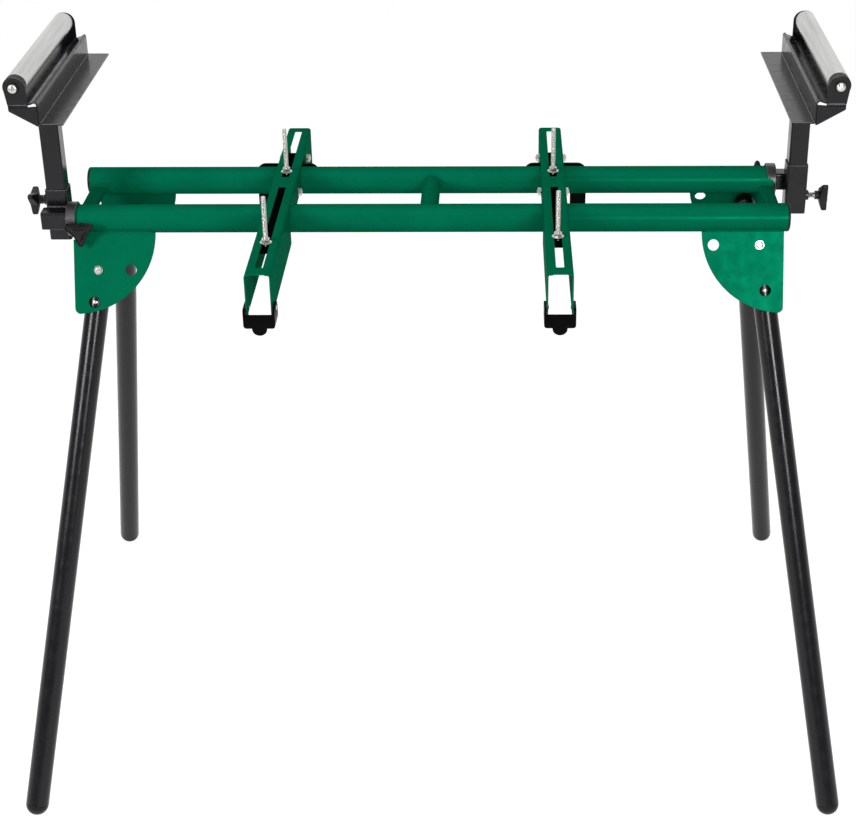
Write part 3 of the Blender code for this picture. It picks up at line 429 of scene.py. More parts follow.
def cut_away(piece, shape):
    """Take a shape out of a finished piece with an exact Boolean, and keep the result as its mesh."""
    cutter = placed("cutter", clean_mesh("cutter", *shape, gap=0.000001))
    piece.modifiers.clear()
    step = piece.modifiers.new("cut", "BOOLEAN")
    step.operation = "DIFFERENCE"
    step.solver = "EXACT"
    step.object = cutter
    bpy.context.view_layer.update()
    graph = bpy.context.evaluated_depsgraph_get()
    shape_left = bpy.data.meshes.new_from_object(piece.evaluated_get(graph))
    piece.modifiers.clear()
    piece.data = shape_left
    keep_flat(piece)
    bpy.data.objects.remove(cutter, do_unlink=True)


def dome_head(radius, height, base, straight=0.35):
    """Profile of a round head from its rim to its crown: half an ellipse over a short straight side."""
    side = height * straight
    return [(radius, base), *(bent(0, 0, 1, 0, 90, 14) * (radius, height - side) + (0, base + side))]


for leg in legs:
    label = leg["label"]
    seat = plate_outer - leg_plane + 0.0003
    low = -leg_radius - 0.0003
    profile = [(0, low - 0.0077), (0.0064, low - 0.0077), (0.0068, low - 0.0073),
               (0.0068, low - 0.0012), (0.0076, low - 0.0012), (0.0076, low), (0.0040, low),
               (0.0040, seat), (0.0061, seat), (0.0063, seat + 0.0002), (0.0063, seat + 0.0010),
               (0.0061, seat + 0.0012), *dome_head(0.0054, 0.0038, seat + 0.0012)]
    bolt = make_piece(label + "_pivot", [turned(profile, leg["pivot"], leg["out"], 64)], zinc,
                      "frame", [label + "_pivot_bolt"])
    crown = leg["pivot"] + leg["out"] * (seat + 0.0050)
    cut_away(bolt, cross_slot(crown, leg["out"], 0.0040, 0.0040, 0.0024))
    nose = plate_inner - leg_plane - 0.0003
    top, radius = 0.0072, 0.0055
    profile = [(0, top - 0.018), (radius, top - 0.018), (radius, top - 0.002), (0.0078, top - 0.002),
               (0.0078, top), (radius, top), *dome_head(radius, 0.0033, nose - 0.0033, 0.0)]
    make_piece(label + "_button", [turned(profile, leg["button"], leg["out"], 56)], zinc,
               label + "_button", [label + "_snap_button"])

# Saw arms: thin sheet folded to channels, slotted along the top and cut away over the rails.
# The bends are round, and every cut edge is a little rounded under the paint.
arm_x = {"left": -0.2050, "right": 0.1740}
arm_half = 0.01675
arm_sheet = 0.0017
arm_front, arm_rear = -0.332, 0.2254
arm_top, arm_bottom = 0.8210, 0.7640
arm_bend = 0.004
bolt_places = {"spacer_bolt": (0.0196, 0.7965), "jaw_bolt": (0.1480, 0.8010)}
pin_y, pin_z, pin_radius = -0.3180, 0.7700, 0.0030


def rounded(low, high, radius, steps=10):
    """Rectangle with round corners, anticlockwise from its right side."""
    right, top = high[0] - radius, high[1] - radius
    left, bottom = low[0] + radius, low[1] + radius
    places = ((right, top, 0), (left, top, 90), (left, bottom, 180), (right, bottom, 270))
    return np.concatenate([bent(x, y, radius, start, start + 90, steps) for x, y, start in places])


def cut_sideways(piece, loops, middle):
    """Take outlines, given along and up, out of an arm's piece right through from side to side."""
    cut_away(piece, plate(loops, -0.05, 0.05, 0, middle, world_y, world_z, world_x))


def break_edges(piece, width):
    """Round every sharp edge by a small width, with the flat faces kept flat."""
    step = piece.modifiers.new("broken_edges", "BEVEL")
    step.width = width
    step.segments = 2
    step.limit_method = "ANGLE"
    step.angle_limit = math.radians(40)
    step.harden_normals = True
    step.use_clamp_overlap = True


for hand in ("left", "right"):
    middle = np.array((arm_x[hand], 0.0, 0.0))
    label = hand + "_arm"
    inside = arm_half - arm_sheet
    inner_bend = arm_bend - arm_sheet
    ceiling = arm_top - arm_sheet
    section = np.concatenate((
        [(-arm_half, arm_bottom), (-inside, arm_bottom)],
        bent(-inside + inner_bend, ceiling - inner_bend, inner_bend, 180, 90, 8),
        bent(inside - inner_bend, ceiling - inner_bend, inner_bend, 90, 0, 8),
        [(inside, arm_bottom), (arm_half, arm_bottom)],
        bent(arm_half - arm_bend, arm_top - arm_bend, arm_bend, 0, 90, 12),
        bent(-arm_half + arm_bend, arm_top - arm_bend, arm_bend, 90, 180, 12)))
    folded = plate([section], arm_front, arm_rear, 0, middle, world_x, world_z, world_y)
    channel = make_piece(label, [folded], green_coat, label, [label + "_channel"])
    below, rail_top = 0.70, 0.8139
    front_notch = rounded((-0.0938, below), (-0.0542, rail_top), 0.004)
    rear_notch = rounded((0.0542, below), (0.1250, rail_top), 0.004)
    between = rounded((-0.0582, below), (0.0582, 0.7870), 0.002)
    for outline in (front_notch, rear_notch, between):
        cut_sideways(channel, [outline], middle)
    outlines = [rounded((-0.0052, low), (0.0052, high), 0.0018, 8)
                for low, high in ((-0.3100, -0.0217), (0.0147, 0.2120))]
    outlines.append(rounded((-0.010, arm_front - 0.010), (0.010, arm_front + 0.0022), 0.0022))
    for outline in outlines:
        cut_away(channel, plate([outline], 0.8136, 0.83, 0, middle, world_x, world_y, world_z))
    for place, radius in ((bolt_places["spacer_bolt"], 0.0043), (bolt_places["jaw_bolt"], 0.0043),
                          ((pin_y, pin_z), pin_radius + 0.00006)):
        cut_sideways(channel, [bent(*place, radius, 0, 360, 33)[:-1]], middle)
    shade(channel, 32)
    break_edges(channel, 0.0005)

# Arm bolts: zinc-plated rods right through both flanges, with a nut on each side and a little of the
# rod's end showing past it. The front one spaces the flanges, the rear one carries the jaw.


def six_sided(radius, low, high, origin, along, crown=0.0):
    """Hexagon nut or head: a six-sided prism whose corners are cut back by a cone at both ends."""
    first, second, axis = side_axes(along)
    way, angle = around(96, first, second)
    flat = radius * math.cos(math.pi / 6)
    sector = (angle + math.pi / 6) % (math.pi / 3) - math.pi / 6
    reach = flat / np.cos(sector)
    chamfer = (reach - flat) * 0.58
    rings = [(reach * 0, low), (np.minimum(reach, flat), low), (reach, low + chamfer),
             (reach, high - chamfer), (np.minimum(reach, flat), high), (reach * 0, high + crown)]
    points = [origin + size[:, None] * way + (height + 0 * angle)[:, None] * axis for size, height in rings]
    return np.concatenate(points), net(len(rings), 96)


for hand in ("left", "right"):
    for role, (bolt_y, bolt_z) in bolt_places.items():
        origin = np.array((arm_x[hand], bolt_y, bolt_z))
        label = "%s_arm_%s" % (hand, role)
        face = arm_half + 0.0003
        half = face + 0.0058
        shank = turned([(0, -half), (0.0024, -half), (0.0030, 0.0006 - half), (0.0030, half - 0.0006),
                        (0.0024, half), (0, half)], origin, world_x, 40)
        nuts = [six_sided(0.0057, face + 0.0007, face + 0.0048, origin, world_x * sign, 0.0002)
                for sign in (-1, 1)]
        washers = [turned([(0.0031, low), (0.0062, low), (0.0062, low + 0.0007), (0.0031, low + 0.0007)],
                          origin, world_x, 48, closed=True) for low in (-face - 0.0007, face)]
        make_piece(label + "_pieces", [shank] + nuts + washers, zinc, hand + "_arm", [label],
                   fold=28)

# Studs: M6 threaded rods welded upright on black strips that slide inside the arm, each clamped by
# a washer and a hexagon nut on top of the arm.
stud_y = {"left_front": -0.2283, "left_rear": 0.0350, "right_front": -0.2097, "right_rear": 0.0350}
strip_lead = {"front": -0.0215, "rear": -0.0150}
strip_end = {"front": -0.0120, "rear": 0.1250}
coal = ((0.0018, 0.0019, 0.0018), (0.0028, 0.0030, 0.0028))
dull_black = powder_coat("dull_black_coat", *coal, 0.42, 0.0)
deep_black = powder_coat("deep_black_coat", *coal, 0.30, 0.025)


def threaded_rod(radius, pitch, low, high, origin, along):
    """Screw thread: the radius dips by the thread's depth as height over pitch plus turn goes by."""
    first, second, axis = side_axes(along)
    sides, rows_per_turn = 28, 8
    rows = int((high - low) / pitch * rows_per_turn) + 1
    height = np.linspace(low, high, rows)[:, None]
    way, angle = around(sides, first, second)
    dip = np.clip(1.15 - 2.6 * np.abs((height / pitch - angle / (2 * math.pi)) % 1.0 - 0.5), 0, 1)
    taper = np.clip((high - height) / (0.9 * pitch), 0.0, 1.0)
    size = radius - 0.27 * pitch * dip - 0.0006 * (1 - taper)
    points = origin + size[..., None] * way + height[..., None] * axis
    ends = [np.tile(origin + end * axis, (1, sides, 1)) for end in (low, high)]
    return np.concatenate((ends[0], points, ends[1])).reshape(-1, 3), net(rows + 2, sides)


for hand in ("left", "right"):
    for place in ("front", "rear"):
        body = "%s_arm_%s_stud" % (hand, place)
        middle, start = arm_x[hand], stud_y[hand + "_" + place]
        origin = np.array((middle, start, arm_top))
        stud = threaded_rod(0.0031, 0.00100, -0.004, 0.064, origin, world_z)
        nut = six_sided(0.0058, 0.0017, 0.0066, origin, world_z, 0)
        washer = turned([(0.0032, 0.0003), (0.0078, 0.0003), (0.0080, 0.0005), (0.0080, 0.0014),
                         (0.0078, 0.0016), (0.0032, 0.0016)], origin, world_z, 64, closed=True)
        make_piece(body + "_rod", [stud, nut, washer], zinc, body, [body], fold=28)
        outline = rounded((middle - 0.008, start + strip_lead[place]),
                          (middle + 0.008, strip_end[place]), 0.004)
        strip = plate([outline], 0.8145, 0.8175, 0.0004, np.zeros(3), world_x, world_y, world_z)
        make_piece(body + "_strip", [strip], dull_black, body, [])

# Clamp jaws: black plates behind the rear rail on two lugs that turn on the rear arm bolt, with a
# release prong that hangs down on the outboard side.
jaw_y, jaw_top, jaw_low, prong_low = 0.0938, 0.8120, 0.7760, 0.7450
jaw_corner, prong_corner = 0.013, 0.0025

for hand, way in (("left", -1), ("right", 1)):
    middle = np.array((arm_x[hand], 0.0, 0.0))
    outline = np.concatenate((
        bent(0.0475, prong_low + prong_corner, prong_corner, 270, 360, 6),
        bent(0.037, jaw_top - jaw_corner, jaw_corner, 0, 90, 14),
        bent(-0.027, jaw_top - jaw_corner, jaw_corner, 90, 180, 14),
        [(-0.040, jaw_low), (0.027, jaw_low)],
        bent(0.0295, prong_low + prong_corner, prong_corner, 180, 270, 6)))
    shapes = [plate([outline], 0, 0.0035, 0.0005, middle + world_y * jaw_y, world_x * way, world_z, world_y)]
    bolt = bolt_places["jaw_bolt"]
    lug = np.concatenate(([(0.0966, bolt[1] - 0.0085)], bent(*bolt, 0.0085, -90, 90, 20),
                          [(0.0966, bolt[1] + 0.0085)]))
    for low_x in (-0.01305, 0.01005):
        shapes.append(plate([lug, ring_hole(*bolt, 0.00406, 40)], low_x, low_x + 0.003, 0.0004, middle,
                            world_y, world_z, world_x))
    make_piece(hand + "_jaw", shapes, deep_black, hand + "_arm_jaw", [hand + "_arm_jaw"])

# Front levers: cups of 3 mm sheet round the arm's front tips, with a round thumb tab below and two
# bright pins that turn in the flanges.
lever_sheet = 0.003
front_out, back, low_out = pin_y - 0.0205, pin_y + 0.0130, pin_z - 0.0215
front_in, low_in = front_out + lever_sheet, low_out + lever_sheet
cup_inner = arm_half + 0.0005
cup_outer = cup_inner + lever_sheet
above = pin_z + 0.02


def trough(half, low, corner, steps, high):
    """Outline of a trough: round bottom corners and upright sides that end at a height."""
    return np.concatenate((bent(-half + corner, low + corner, corner, 180, 270, steps),
                           bent(half - corner, low + corner, corner, 270, 360, steps),
                           [(half, high), (-half, high)]))


for hand in ("left", "right"):
    middle = np.array((arm_x[hand], 0.0, 0.0))
    body = hand + "_arm_lever"
    block = plate([trough(cup_outer, low_out, 0.006, 10, above)], front_out, back, 0, middle, world_x,
                  world_z, world_y)
    cup = make_piece(hand + "_lever_cup", [block], deep_black, body, [body])
    cut_away(cup, plate([trough(cup_inner, low_in, 0.003, 8, above + 0.01)], front_in, back + 0.01, 0,
                        middle, world_x, world_z, world_y))
    cheek = np.concatenate((bent(front_out + 0.004, low_out + 0.004, 0.004, 180, 270, 8),
                            bent(back - 0.004, low_out + 0.004, 0.004, 270, 360, 8),
                            bent(pin_y + 0.0045, pin_z - 0.0025, 0.0085, 0, 90, 12),
                            bent(front_out + 0.005, pin_z + 0.001, 0.005, 90, 180, 8)))
    around_cheek = np.array([(front_out - 0.03, low_out - 0.03), (back + 0.03, low_out - 0.03),
                             (back + 0.03, above + 0.03), (front_out - 0.03, above + 0.03)])
    cut_sideways(cup, [around_cheek, cheek[::-1]], middle)
    lip = rounded((-cup_inner, pin_z - 0.002), (cup_inner, above + 0.02), 0.0015, 4)
    cut_away(cup, plate([lip], front_out - 0.01, front_in + 0.0005, 0, middle, world_x, world_z, world_y))
    break_edges(cup, 0.0005)
    tab = np.concatenate(([(0.0100, low_out + 0.004), (-0.0100, low_out + 0.004)],
                          bent(0, 0, 1, 180, 360, 24) * (0.0095, 0.0085) + (0, low_out)))
    thumb = plate([tab], 0, lever_sheet, 0.0006, middle + world_y * front_out, world_x, world_z, world_y)
    make_piece(hand + "_lever_tab", [thumb], deep_black, body, [])
    start = arm_half - arm_sheet - 0.0012
    profile = [(0, start), (0.0022, start), (pin_radius, start + 0.0008), (pin_radius, cup_outer),
               (0.0026, cup_outer + 0.0005), (0, cup_outer + 0.0006)]
    pins = [turned(profile, middle + (0.0, pin_y, pin_z), world_x * sign, 32) for sign in (-1, 1)]
    make_piece(hand + "_lever_pins", pins, zinc, body, [])

# Extension bars: 25 mm square tube that slides in a rail. The sleeve is welded to its inner side, and
# the rims of bar and sleeve carry a painted highlight, a thin light grey line.
gloss_black = powder_coat("thick_black_coat", (0.0050, 0.0050, 0.0058), (0.0070, 0.0070, 0.0080), 0.14, 0.60)
# Light grey coat for painted highlights: thin lines on rims, folds and plug rings, standing for light caught
# on rounded edges.
painted_highlight_edge = powder_coat("painted_highlight_grey", (0.110, 0.112, 0.120), (0.200, 0.202, 0.210), 0.36, 0.50)
support_x = {"left": 0.5133, "right": 0.5213}
support_side = {"left": "front", "right": "rear"}
knob_height = {"left": 0.8117, "right": 0.7804}
bar_half, bar_length, bar_out, tube_wall, tube_corner = 0.0125, 0.420, 0.018, 0.0015, 0.003
sleeve_half, sleeve_low, sleeve_high = 0.015, 0.7574, 0.8300


def square_tube(half, corner, low, high, origin, across, along, normal):
    """Square tube: a rounded square with a rounded square hole, carried from low to high."""
    hollow = half - tube_wall
    hole = rounded((-hollow, -hollow), (hollow, hollow), corner - tube_wall)[::-1]
    outer = rounded((-half, -half), (half, half), corner)
    return plate([outer, hole], low, high, 0.0006, origin, across, along, normal)


def rim_line(half, corner, centre, across, along):
    """Thin line of painted highlight round the rim of a square tube: a fine rope along its rounded outline.
    """
    spots = rounded((-half, -half), (half, half), corner)
    return bead(centre + spots[:, :1] * across + spots[:, 1:] * along, 0.00038, 0, sides=6)


def support_frame(hand):
    """Name of one roller support, its way, outboard direction, post centre, rail middle and bar axes.
    The post stands inward of the rail by half a bar, half a sleeve and a small gap."""
    way = -1 if hand == "left" else 1
    axis_y = rail_y[support_side[hand]]
    post_y = way * (rail_y["rear"] - bar_half - 0.0003 - sleeve_half)
    axes = (way * world_y, world_z, way * world_x)
    return (hand + "_support", way, axes[2], np.array((way * support_x[hand], post_y, 0.0)),
            np.array((0.0, axis_y, rail_height)), axes)


for hand in ("left", "right"):
    label, way, outboard, post_centre, rail_middle, axes = support_frame(hand)
    body = label + "_extension"
    outer_end = support_x[hand] + bar_out
    bar = square_tube(bar_half, tube_corner, outer_end - bar_length, outer_end, rail_middle, *axes)
    make_piece(label + "_square_bar", [bar], black_coat, body, [label + "_extension_bar"])
    sleeve = square_tube(sleeve_half, tube_corner, sleeve_low, sleeve_high, post_centre, world_x, world_y,
                         world_z)
    boss_origin = post_centre + outboard * (sleeve_half - 0.0004) + world_z * knob_height[hand]
    boss = turned([(0.0043, 0), (0.0072, 0), (0.0072, 0.0048), (0.0066, 0.0054), (0.0043, 0.0054)],
                  boss_origin, outboard, 48, closed=True)
    make_piece(label + "_sleeve_tube", [sleeve, boss], black_coat, body, [label + "_sleeve"])
    side_y = rail_middle[1] - math.copysign(bar_half + 0.0002, rail_middle[1])
    near, edge = support_x[hand], bar_half - 0.0004
    welds = []
    for first, last, radius, pools in (
            ((near - 0.0135, edge), (near + 0.0135, edge), 0.0019, 12),
            ((near - 0.0135, -edge), (near + 0.0135, -edge), 0.0019, 12),
            ((near + sleeve_half - 0.0004, -0.011), (near + sleeve_half - 0.0004, 0.011), 0.0018, 10)):
        reach, height = np.linspace(first, last, 90).T
        path = np.stack((way * reach, side_y + 0 * reach, rail_height + height), axis=1)
        welds.append(bead(path, radius, pools, closed=False))
    make_piece(label + "_sleeve_welds", welds, gloss_black, body, [])
    # Painted highlights: light grey lines on the sleeve's top rim and the bar's outer rim, for light caught
    # on their rounded edges.
    rims = [rim_line(sleeve_half - 0.0004, tube_corner, post_centre + world_z * (sleeve_high - 0.0002),
                     world_x, world_y),
            rim_line(bar_half - 0.0004, tube_corner, rail_middle + outboard * (outer_end - 0.0002),
                     *axes[:2])]
    make_piece(label + "_painted_highlight_rims", rims, painted_highlight_edge, body, [])

# Collars: moulded rings pressed over the rail ends, with a square hole that guides the bar. The
# clamping knob's stem goes through collar side and rail wall.
grained_plastic = moulded_plastic("grained_black_plastic", (0.0075, 0.0075, 0.0082), 0.36, 0.9)
ring_start, face_in, face_out, ring_bore, ring_radius = 0.482, 0.4933, 0.4955, 0.0198, 0.0235

for hand in ("left", "right"):
    label, way, outboard, _, rail_middle, axes = support_frame(hand)
    profile = [(0.002, face_in), (ring_bore, face_in), (ring_bore, ring_start),
               (ring_radius - 0.0006, ring_start), (ring_radius, ring_start + 0.0006),
               *bent(ring_radius - 0.0012, face_out - 0.0012, 0.0012, 0, 90, 7), (0.002, face_out)]
    ring = make_piece(label + "_collar_ring", [turned(profile, rail_middle, outboard, 96, closed=True)],
                      grained_plastic, "frame", [label + "_collar"])
    window = rounded((-0.0128, -0.0128), (0.0128, 0.0128), 0.003)
    cut_away(ring, plate([window], 0.47, 0.51, 0, rail_middle, *axes))
    relief = np.array((way * 0.4805, rail_middle[1], 0.7911))
    cut_away(ring, turned([(0, 0), (0.0133, 0), (0.0133, 0.039), (0, 0.039)], relief, -world_y * way, 96))

# Knobs: moulded three-wing knobs on M8 stems. One clamps each bar in its collar, and one holds each
# post in its sleeve.
knob_lean = math.radians(12.0)
bar_turn = {"left": math.radians(180), "right": 0.0}
post_turn = {"left": math.radians(180), "right": math.radians(33)}
bare_thread = {"left": 0.0015, "right": 0.0090}


def three_wing_knob(origin, along, stem, thread, neck, turn):
    """Knob head on its stem: the outline is three round tips joined by straight edges, read as reach
    against angle, and that reach is drawn in over a flared underside, a rim and a hollowed top."""
    first, second, axis = side_axes(along)
    tip = bent(0.0188, 0, 0.0034, 0, 78, 14)
    valley = (0.0098 * math.cos(math.pi / 3), 0.0098 * math.sin(math.pi / 3))
    outline = np.concatenate((tip, np.linspace(tip[-1], valley, 10)[1:]))
    way, angle = around(180, first, second)
    from_tip = np.abs((angle - turn + math.pi / 3) % (2 * math.pi / 3) - math.pi / 3)
    reach = np.interp(from_tip, np.arctan2(outline[:, 1], outline[:, 0]), np.hypot(*outline.T))
    low = thread + neck
    rings = [(part, 0.0055 * np.clip((part * reach - 0.006) / 0.0196, 0, 1)
              + 0.0012 * max(0.0, (part - 0.95) / 0.05) ** 2)
             for part in (0.0, 0.30, 0.55, 0.80, 0.95, 0.99, 1.0)]
    rings += [(1.0, 0.0098), (0.988, 0.0110), (0.960, 0.0115), (0.925, 0.0113), (0.900, 0.0102),
              (0.60, 0.0102), (0.52, 0.0112), (0.47, 0.0126), (0.40, 0.0130), (0.0, 0.0131)]
    points = [origin + (part * reach)[:, None] * way + (low + high + 0 * angle)[:, None] * axis
              for part, high in rings]
    head = (np.concatenate(points), net(len(rings), 180))
    shank = turned([(0, thread), (0.0062, thread), (0.0062, low + 0.004), (0, low + 0.004)], origin,
                   along, 48)
    return [head, shank], [threaded_rod(0.0040, 0.00125, -stem, thread + 0.001, origin, axis)]


for hand in ("left", "right"):
    label, way, outboard, post_centre, rail_middle, _ = support_frame(hand)
    direction = np.array((0.0, math.copysign(math.cos(knob_lean), rail_middle[1]), -math.sin(knob_lean)))
    bar_seat = rail_middle + world_x * way * 0.4750 + direction * ring_bore
    post_seat = post_centre + outboard * (sleeve_half + 0.005 + 0.0003) + world_z * knob_height[hand]
    for name, body, knob in (
            ("_bar_knob", "_collar_knob", (bar_seat, direction, 0.0052, 0.0, 0.007, bar_turn[hand])),
            ("_height_knob", "_post_knob",
             (post_seat, outboard, 0.0065, bare_thread[hand], 0.005, post_turn[hand]))):
        shapes, screw = three_wing_knob(*knob)
        make_piece(label + name, shapes, black_plastic, label + body, [label + body],
                   fold=50)
        make_piece(label + name + "_screw", screw, zinc, label + body, [])

# Posts: square tube that slides in the sleeve. The roller bracket is one sheet, folded to a shelf, a
# wall, a narrow ridge and a sloping base, with a gusset and an ear for the roller at each end.
post_half, post_low = 0.0132, 0.7600
shelf_top = 0.9580
head_half = 0.157
sheet = 0.002
wall = 0.0285
fold_inset = post_half + 0.0003 + sheet
axle_x, axle_z = 0.030, 0.0475

for hand in ("left", "right"):
    label, way, outboard, post_centre = support_frame(hand)[:4]
    post_top = shelf_top + 0.0255 - sheet - 0.0003
    post = square_tube(post_half, 0.0025, post_low, post_top, post_centre, world_x, world_y, world_z)
    make_piece(label + "_square_post", [post], black_coat, label + "_post", [label + "_post"])
    origin = np.array((way * (support_x[hand] - fold_inset), 0.0, shelf_top))
    lengthways = (origin, outboard, world_z, -world_y * way)
    path = np.concatenate(([(-0.030, -0.001)], bent(-0.0015, 0.0015, 0.0025, 270, 360, 8),
                           bent(0.003, wall - 0.003, 0.002, 180, 64, 12),
                           [(0.0078, 0.0262), (0.0122, 0.0245), (0.0136, 0.0245)]))
    ahead = np.gradient(path, axis=0)
    ahead /= np.linalg.norm(ahead, axis=1)[:, None]
    left = np.stack((-ahead[:, 1], ahead[:, 0]), axis=1)
    under, over = path - left * sheet / 2, path + left * sheet / 2
    shapes = []
    for part, end in ((slice(None, -3), head_half), (slice(-4, None), head_half - 0.0062)):
        section = np.concatenate((under[part], over[part][::-1]))
        shapes.append(plate([section], -end, end, 0, *lengthways))
    fold = head_half - 0.002
    tray = np.concatenate(([(-head_half, 0.0215)], bent(-fold, 0.0235, 0.002, 180, 90, 8),
                           bent(fold, 0.0235, 0.002, 90, 0, 8), [(head_half, 0.0215), (fold, 0.0215)],
                           [(fold, 0.0235), (-fold, 0.0235), (-fold, 0.0215)]))[::-1]
    shapes.append(plate([tray], 0.0136, 0.039, 0.0003, origin, world_y * way, world_z, outboard))
    gusset = np.concatenate(([(0.001, -0.0035), (0.0035, -0.0035)], bent(0.0365, 0.0185, 0.0025, -58, 0, 6),
                             [(0.039, 0.0225), (0.0136, 0.0225), (0.001, 0.0235)]))
    ear = np.concatenate((bent(0.0161, 0.0255, 0.0025, 180, 270, 6),
                          bent(0.0372, 0.0255, 0.0025, 270, 350, 6),
                          bent(0.0282, 0.0462, 0.0146, 0, 180, 44)))
    for low, tuck in ((-head_half, 0.0009), (head_half - sheet, -0.0009)):
        shapes.append(plate([gusset], low, low + sheet, 0.0003, *lengthways))
        shapes.append(plate([ear, ring_hole(axle_x, axle_z, 0.0033, 40)], low + tuck, low + tuck + sheet,
                            0.0004, *lengthways))
    make_piece(label + "_roller_carrier", shapes, black_coat, label + "_post",
               [label + "_roller_bracket"])
    # Painted highlights: light grey lines along the carrier's folds and sheet edges, for light caught on the
    # bends.
    folds = [((x, -head_half, z), (x, head_half, z), 60, radius)
             for x, z, radius in ((-0.0006, 0.0006, 0.00042), (-0.0296, -0.0002, 0.00032),
                                  (0.0012, wall - 0.0006, 0.00034))]
    for sign in (-1, 1):
        shelf_y, tray_y = sign * (head_half - 0.0002), sign * (head_half - 0.0006)
        folds += [((-0.0290, shelf_y, -0.0002), (-0.002, shelf_y, -0.0002), 20, 0.00034),
                  ((0.0140, tray_y, 0.0252), (0.0375, tray_y, 0.0252), 20, 0.00034)]
    lines = [bead(origin + np.linspace(first, last, steps) * (way, 1, 1), radius, 0, closed=False, sides=6)
             for first, last, steps, radius in folds]
    make_piece(label + "_painted_highlight_folds", lines, painted_highlight_edge, label + "_post", [])

# Rollers: bright steel tube on two black end plugs, the front one ribbed, turning on a long axle bolt
# whose pan heads sit outside the ears. The tube has soft streaks and fine draw lines along its length.
draw_lines = (100.0, 4.0, (14.0, 0.25, 14.0))
roller_steel = finish("bright_roller_steel", 1.0, 0.30, 0.5, ((0.62, 0.62, 0.61), (0.4836, 0.4836, 0.4758)),
                      clouds=(26.0, 3.0, (7.0, 0.30, 7.0)), wear=(0.05, 0.10, *draw_lines),
                      skin=(0.22, 0.00004, *draw_lines))
land_step, axle_bore = 0.0057, 0.00306

for hand in ("left", "right"):
    label, way = support_frame(hand)[:2]
    body = label + "_roller"
    origin = np.array((way * (support_x[hand] - fold_inset + axle_x), 0.0, shelf_top + axle_z))
    half = head_half - sheet - 0.001
    near, far = -half + 0.016, half - 0.003
    tube = turned([(0.0125, near), (0.0136, near), (0.0140, near + 0.0004), (0.0140, far - 0.0004),
                   (0.0136, far), (0.0125, far)], origin, world_y, 96, closed=True)
    make_piece(body + "_tube", [tube], roller_steel, body, [body])
    rings = [(axle_bore, half)]
    for step in range(3):
        land = half - land_step * step
        rings += [(0.0130, land), (0.0139, land - 0.0009), (0.0139, land - 0.0036), (0.0130, land - 0.0045)]
        rings += [(0.0122, land - 0.0046), (0.0122, land - 0.0056)] if step < 2 else []
    rings += [(0.0123, half - 0.0160), (0.0123, half - 0.030), (axle_bore, half - 0.030)]
    plain = [(axle_bore, half), (0.0133, half), (0.0139, half - 0.0006), (0.0139, half - 0.0029),
             (0.0123, half - 0.0030), (0.0123, half - 0.020), (axle_bore, half - 0.020)]
    plugs = [turned(rings, origin, -world_y, 96, closed=True),
             turned(plain, origin, world_y, 96, closed=True)]
    make_piece(body + "_plugs", plugs, black_plastic, body, [])
    # Painted highlights: light grey rings on the front plug's lands, for light caught on their rounded
    # edges.
    wear_and_sheen = [turned([(0.01385, high - 0.0010), (0.01395, high - 0.0010), (0.01395, high - 0.0017),
                    (0.01385, high - 0.0017)], origin, -world_y, 96, closed=True)
            for high in (half, half - land_step, half - 2 * land_step)]
    make_piece(body + "_rings", wear_and_sheen, painted_highlight_edge, body, [])
    face = head_half + 0.0003
    head = dome_head(0.0060, 0.0034, face)
    profile = [(radius, -height) for radius, height in reversed(head)]
    profile += [(0.0030, -face), (0.0030, face)] + head
    axle = make_piece(label + "_axle", [turned(profile, origin, world_y, 56)], zinc,
                      label + "_post", [label + "_roller_axle"])
    for sign in (-1, 1):
        crown = origin + world_y * sign * (face + 0.0034)
        cut_away(axle, cross_slot(crown, world_y * sign, 0.0032, 0.0020, 0.0012))
    washers = [turned([(0.0062, face - 0.0012), (0.0076, face - 0.0012), (0.0079, face - 0.0009),
                       (0.0079, face + 0.0002), (0.0075, face + 0.0006), (0.0062, face + 0.0006)],
                      origin, world_y * sign, 64, closed=True) for sign in (-1, 1)]
    make_piece(label + "_axle_washers", washers, black_plastic, label + "_post", [])

# Studio: a pale seamless floor, two broad soft lamps in front and a weak one overhead. The camera
# stands where the photographer stood, and it sees the floor as white with the shadow kept.


def shown_rays(tree):
    """One for rays from the camera, from gloss and through glass, else nothing."""
    rays = new_node(tree, "LightPath").outputs
    seen = rays["Is Camera Ray"]
    for kind in ("Is Glossy Ray", "Is Transmission Ray"):
        seen = new_node(tree, "Math", {}, {0: seen, 1: rays[kind]}, operation="MAXIMUM").outputs[0]
    return seen


reach = 14.0
floor_mesh = bpy.data.meshes.new("floor")
floor_mesh.from_pydata([(-reach, -reach, 0), (reach, -reach, 0), (reach, reach, 0), (-reach, reach, 0)],
                       [], [(0, 1, 2, 3)])
floor = placed("floor", floor_mesh)
paper, tree, shader = shader_nodes("pale_floor", (0.40, 0.40, 0.40), 0.0, 0.9, 0.0)
mottle = tint(tree, grain(tree, 3.0, 2.0), (0.39, 0.39, 0.39), (0.41, 0.41, 0.41))
shown = new_node(tree, "Math", {1: 0.84}, {0: shown_rays(tree)}, operation="MULTIPLY")
shader.inputs["Emission Color"].default_value = (1.0, 1.0, 1.0, 1.0)
tree.links.new(mottle, shader.inputs["Base Color"])
tree.links.new(shown.outputs[0], shader.inputs["Emission Strength"])
floor_mesh.materials.append(paper)

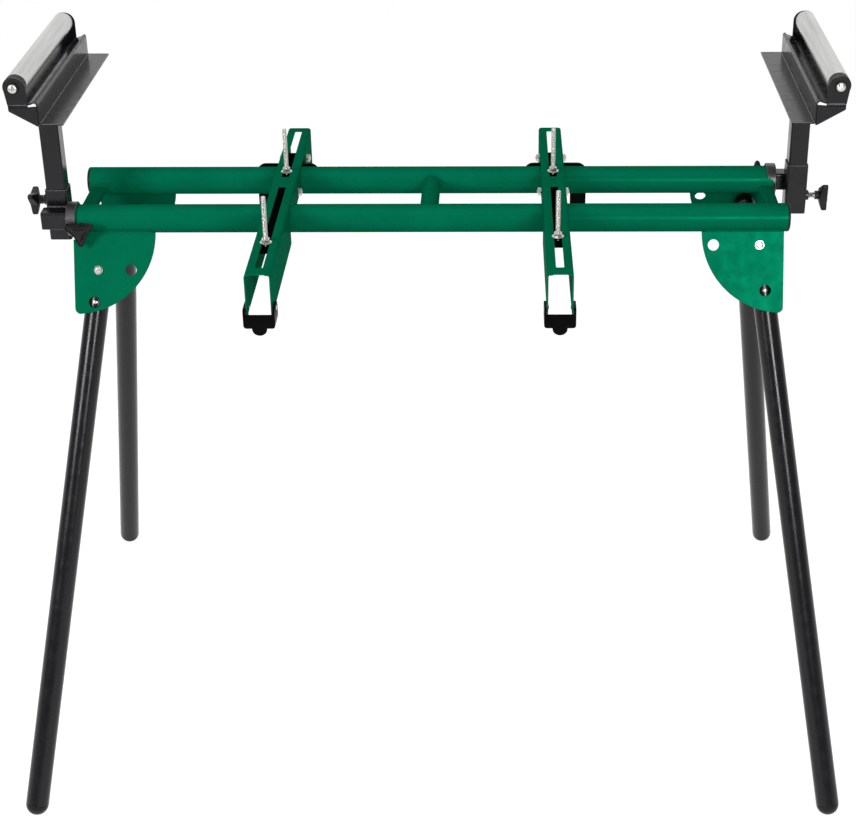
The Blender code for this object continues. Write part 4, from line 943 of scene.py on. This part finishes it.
world = bpy.data.worlds.new("studio")
world.use_nodes = True
tree = world.node_tree
sky = new_node(tree, "SeparateXYZ", {}, {0: new_node(tree, "TexCoord").outputs["Generated"]}).outputs
toward = new_node(tree, "Math", {1: 0.6}, {0: sky["Y"], 2: sky["Z"]}, operation="MULTIPLY_ADD")
backdrop = new_node(tree, "MapRange", {"From Min": 0.0, "From Max": 0.5, "To Min": 0.38, "To Max": 1.0},
                    {"Value": toward.outputs[0]}, interpolation_type="SMOOTHSTEP")
glow = new_node(tree, "Mix", {2: 0.34}, {0: shown_rays(tree), 3: backdrop.outputs["Result"]})
background = tree.nodes["Background"]
background.inputs["Color"].default_value = (1.0, 1.0, 1.0, 1.0)
tree.links.new(glow.outputs[0], background.inputs["Strength"])
bpy.context.scene.world = world


def soft_lamp(name, place, width, height, power):
    """Rectangular area lamp that looks at the middle of the stand."""
    light = bpy.data.lights.new(name, "AREA")
    light.shape = "RECTANGLE"
    light.size = width
    light.size_y = height
    light.energy = power
    lamp = placed(name, light)
    lamp.location = place
    lamp.rotation_euler = (Vector((0, 0, 0.7)) - Vector(place)).to_track_quat("-Z", "Y").to_euler()


soft_lamp("left_lamp", (-2.0, -2.2, 1.7), 0.7, 1.0, 46)
soft_lamp("right_lamp", (0.95, -2.8, 1.6), 0.6, 0.9, 40)
soft_lamp("overhead_lamp", (0.2, -0.6, 3.2), 2.2, 2.2, 14)

image_width, image_height = 856, 816
focal_pixels, centre_x, centre_y = 1829.8843, 490.34, 412.14
tilt, swing, roll = 0.4843, -0.0059, -0.0041
look = np.array((math.sin(swing) * math.cos(tilt), math.cos(swing) * math.cos(tilt), -math.sin(tilt)))
level = np.array((math.cos(swing), -math.sin(swing), 0.0))
high = np.cross(level, look)
right = math.cos(roll) * level + math.sin(roll) * high
above = -math.sin(roll) * level + math.cos(roll) * high
lens = bpy.data.cameras.new("camera")
lens.sensor_width = 36.0
lens.lens = focal_pixels / image_width * 36.0
lens.shift_x = (image_width / 2 - centre_x) / image_width
lens.shift_y = (centre_y - image_height / 2) / image_width
lens.clip_end = 60.0
camera = placed("camera", lens)
turn = Matrix((Vector(right), Vector(above), Vector(-look))).transposed().to_4x4()
camera.matrix_world = Matrix.Translation((0.098, -2.4282, 1.7302)) @ turn
bpy.context.scene.camera = camera

bpy.context.scene.view_settings.view_transform = "Standard"
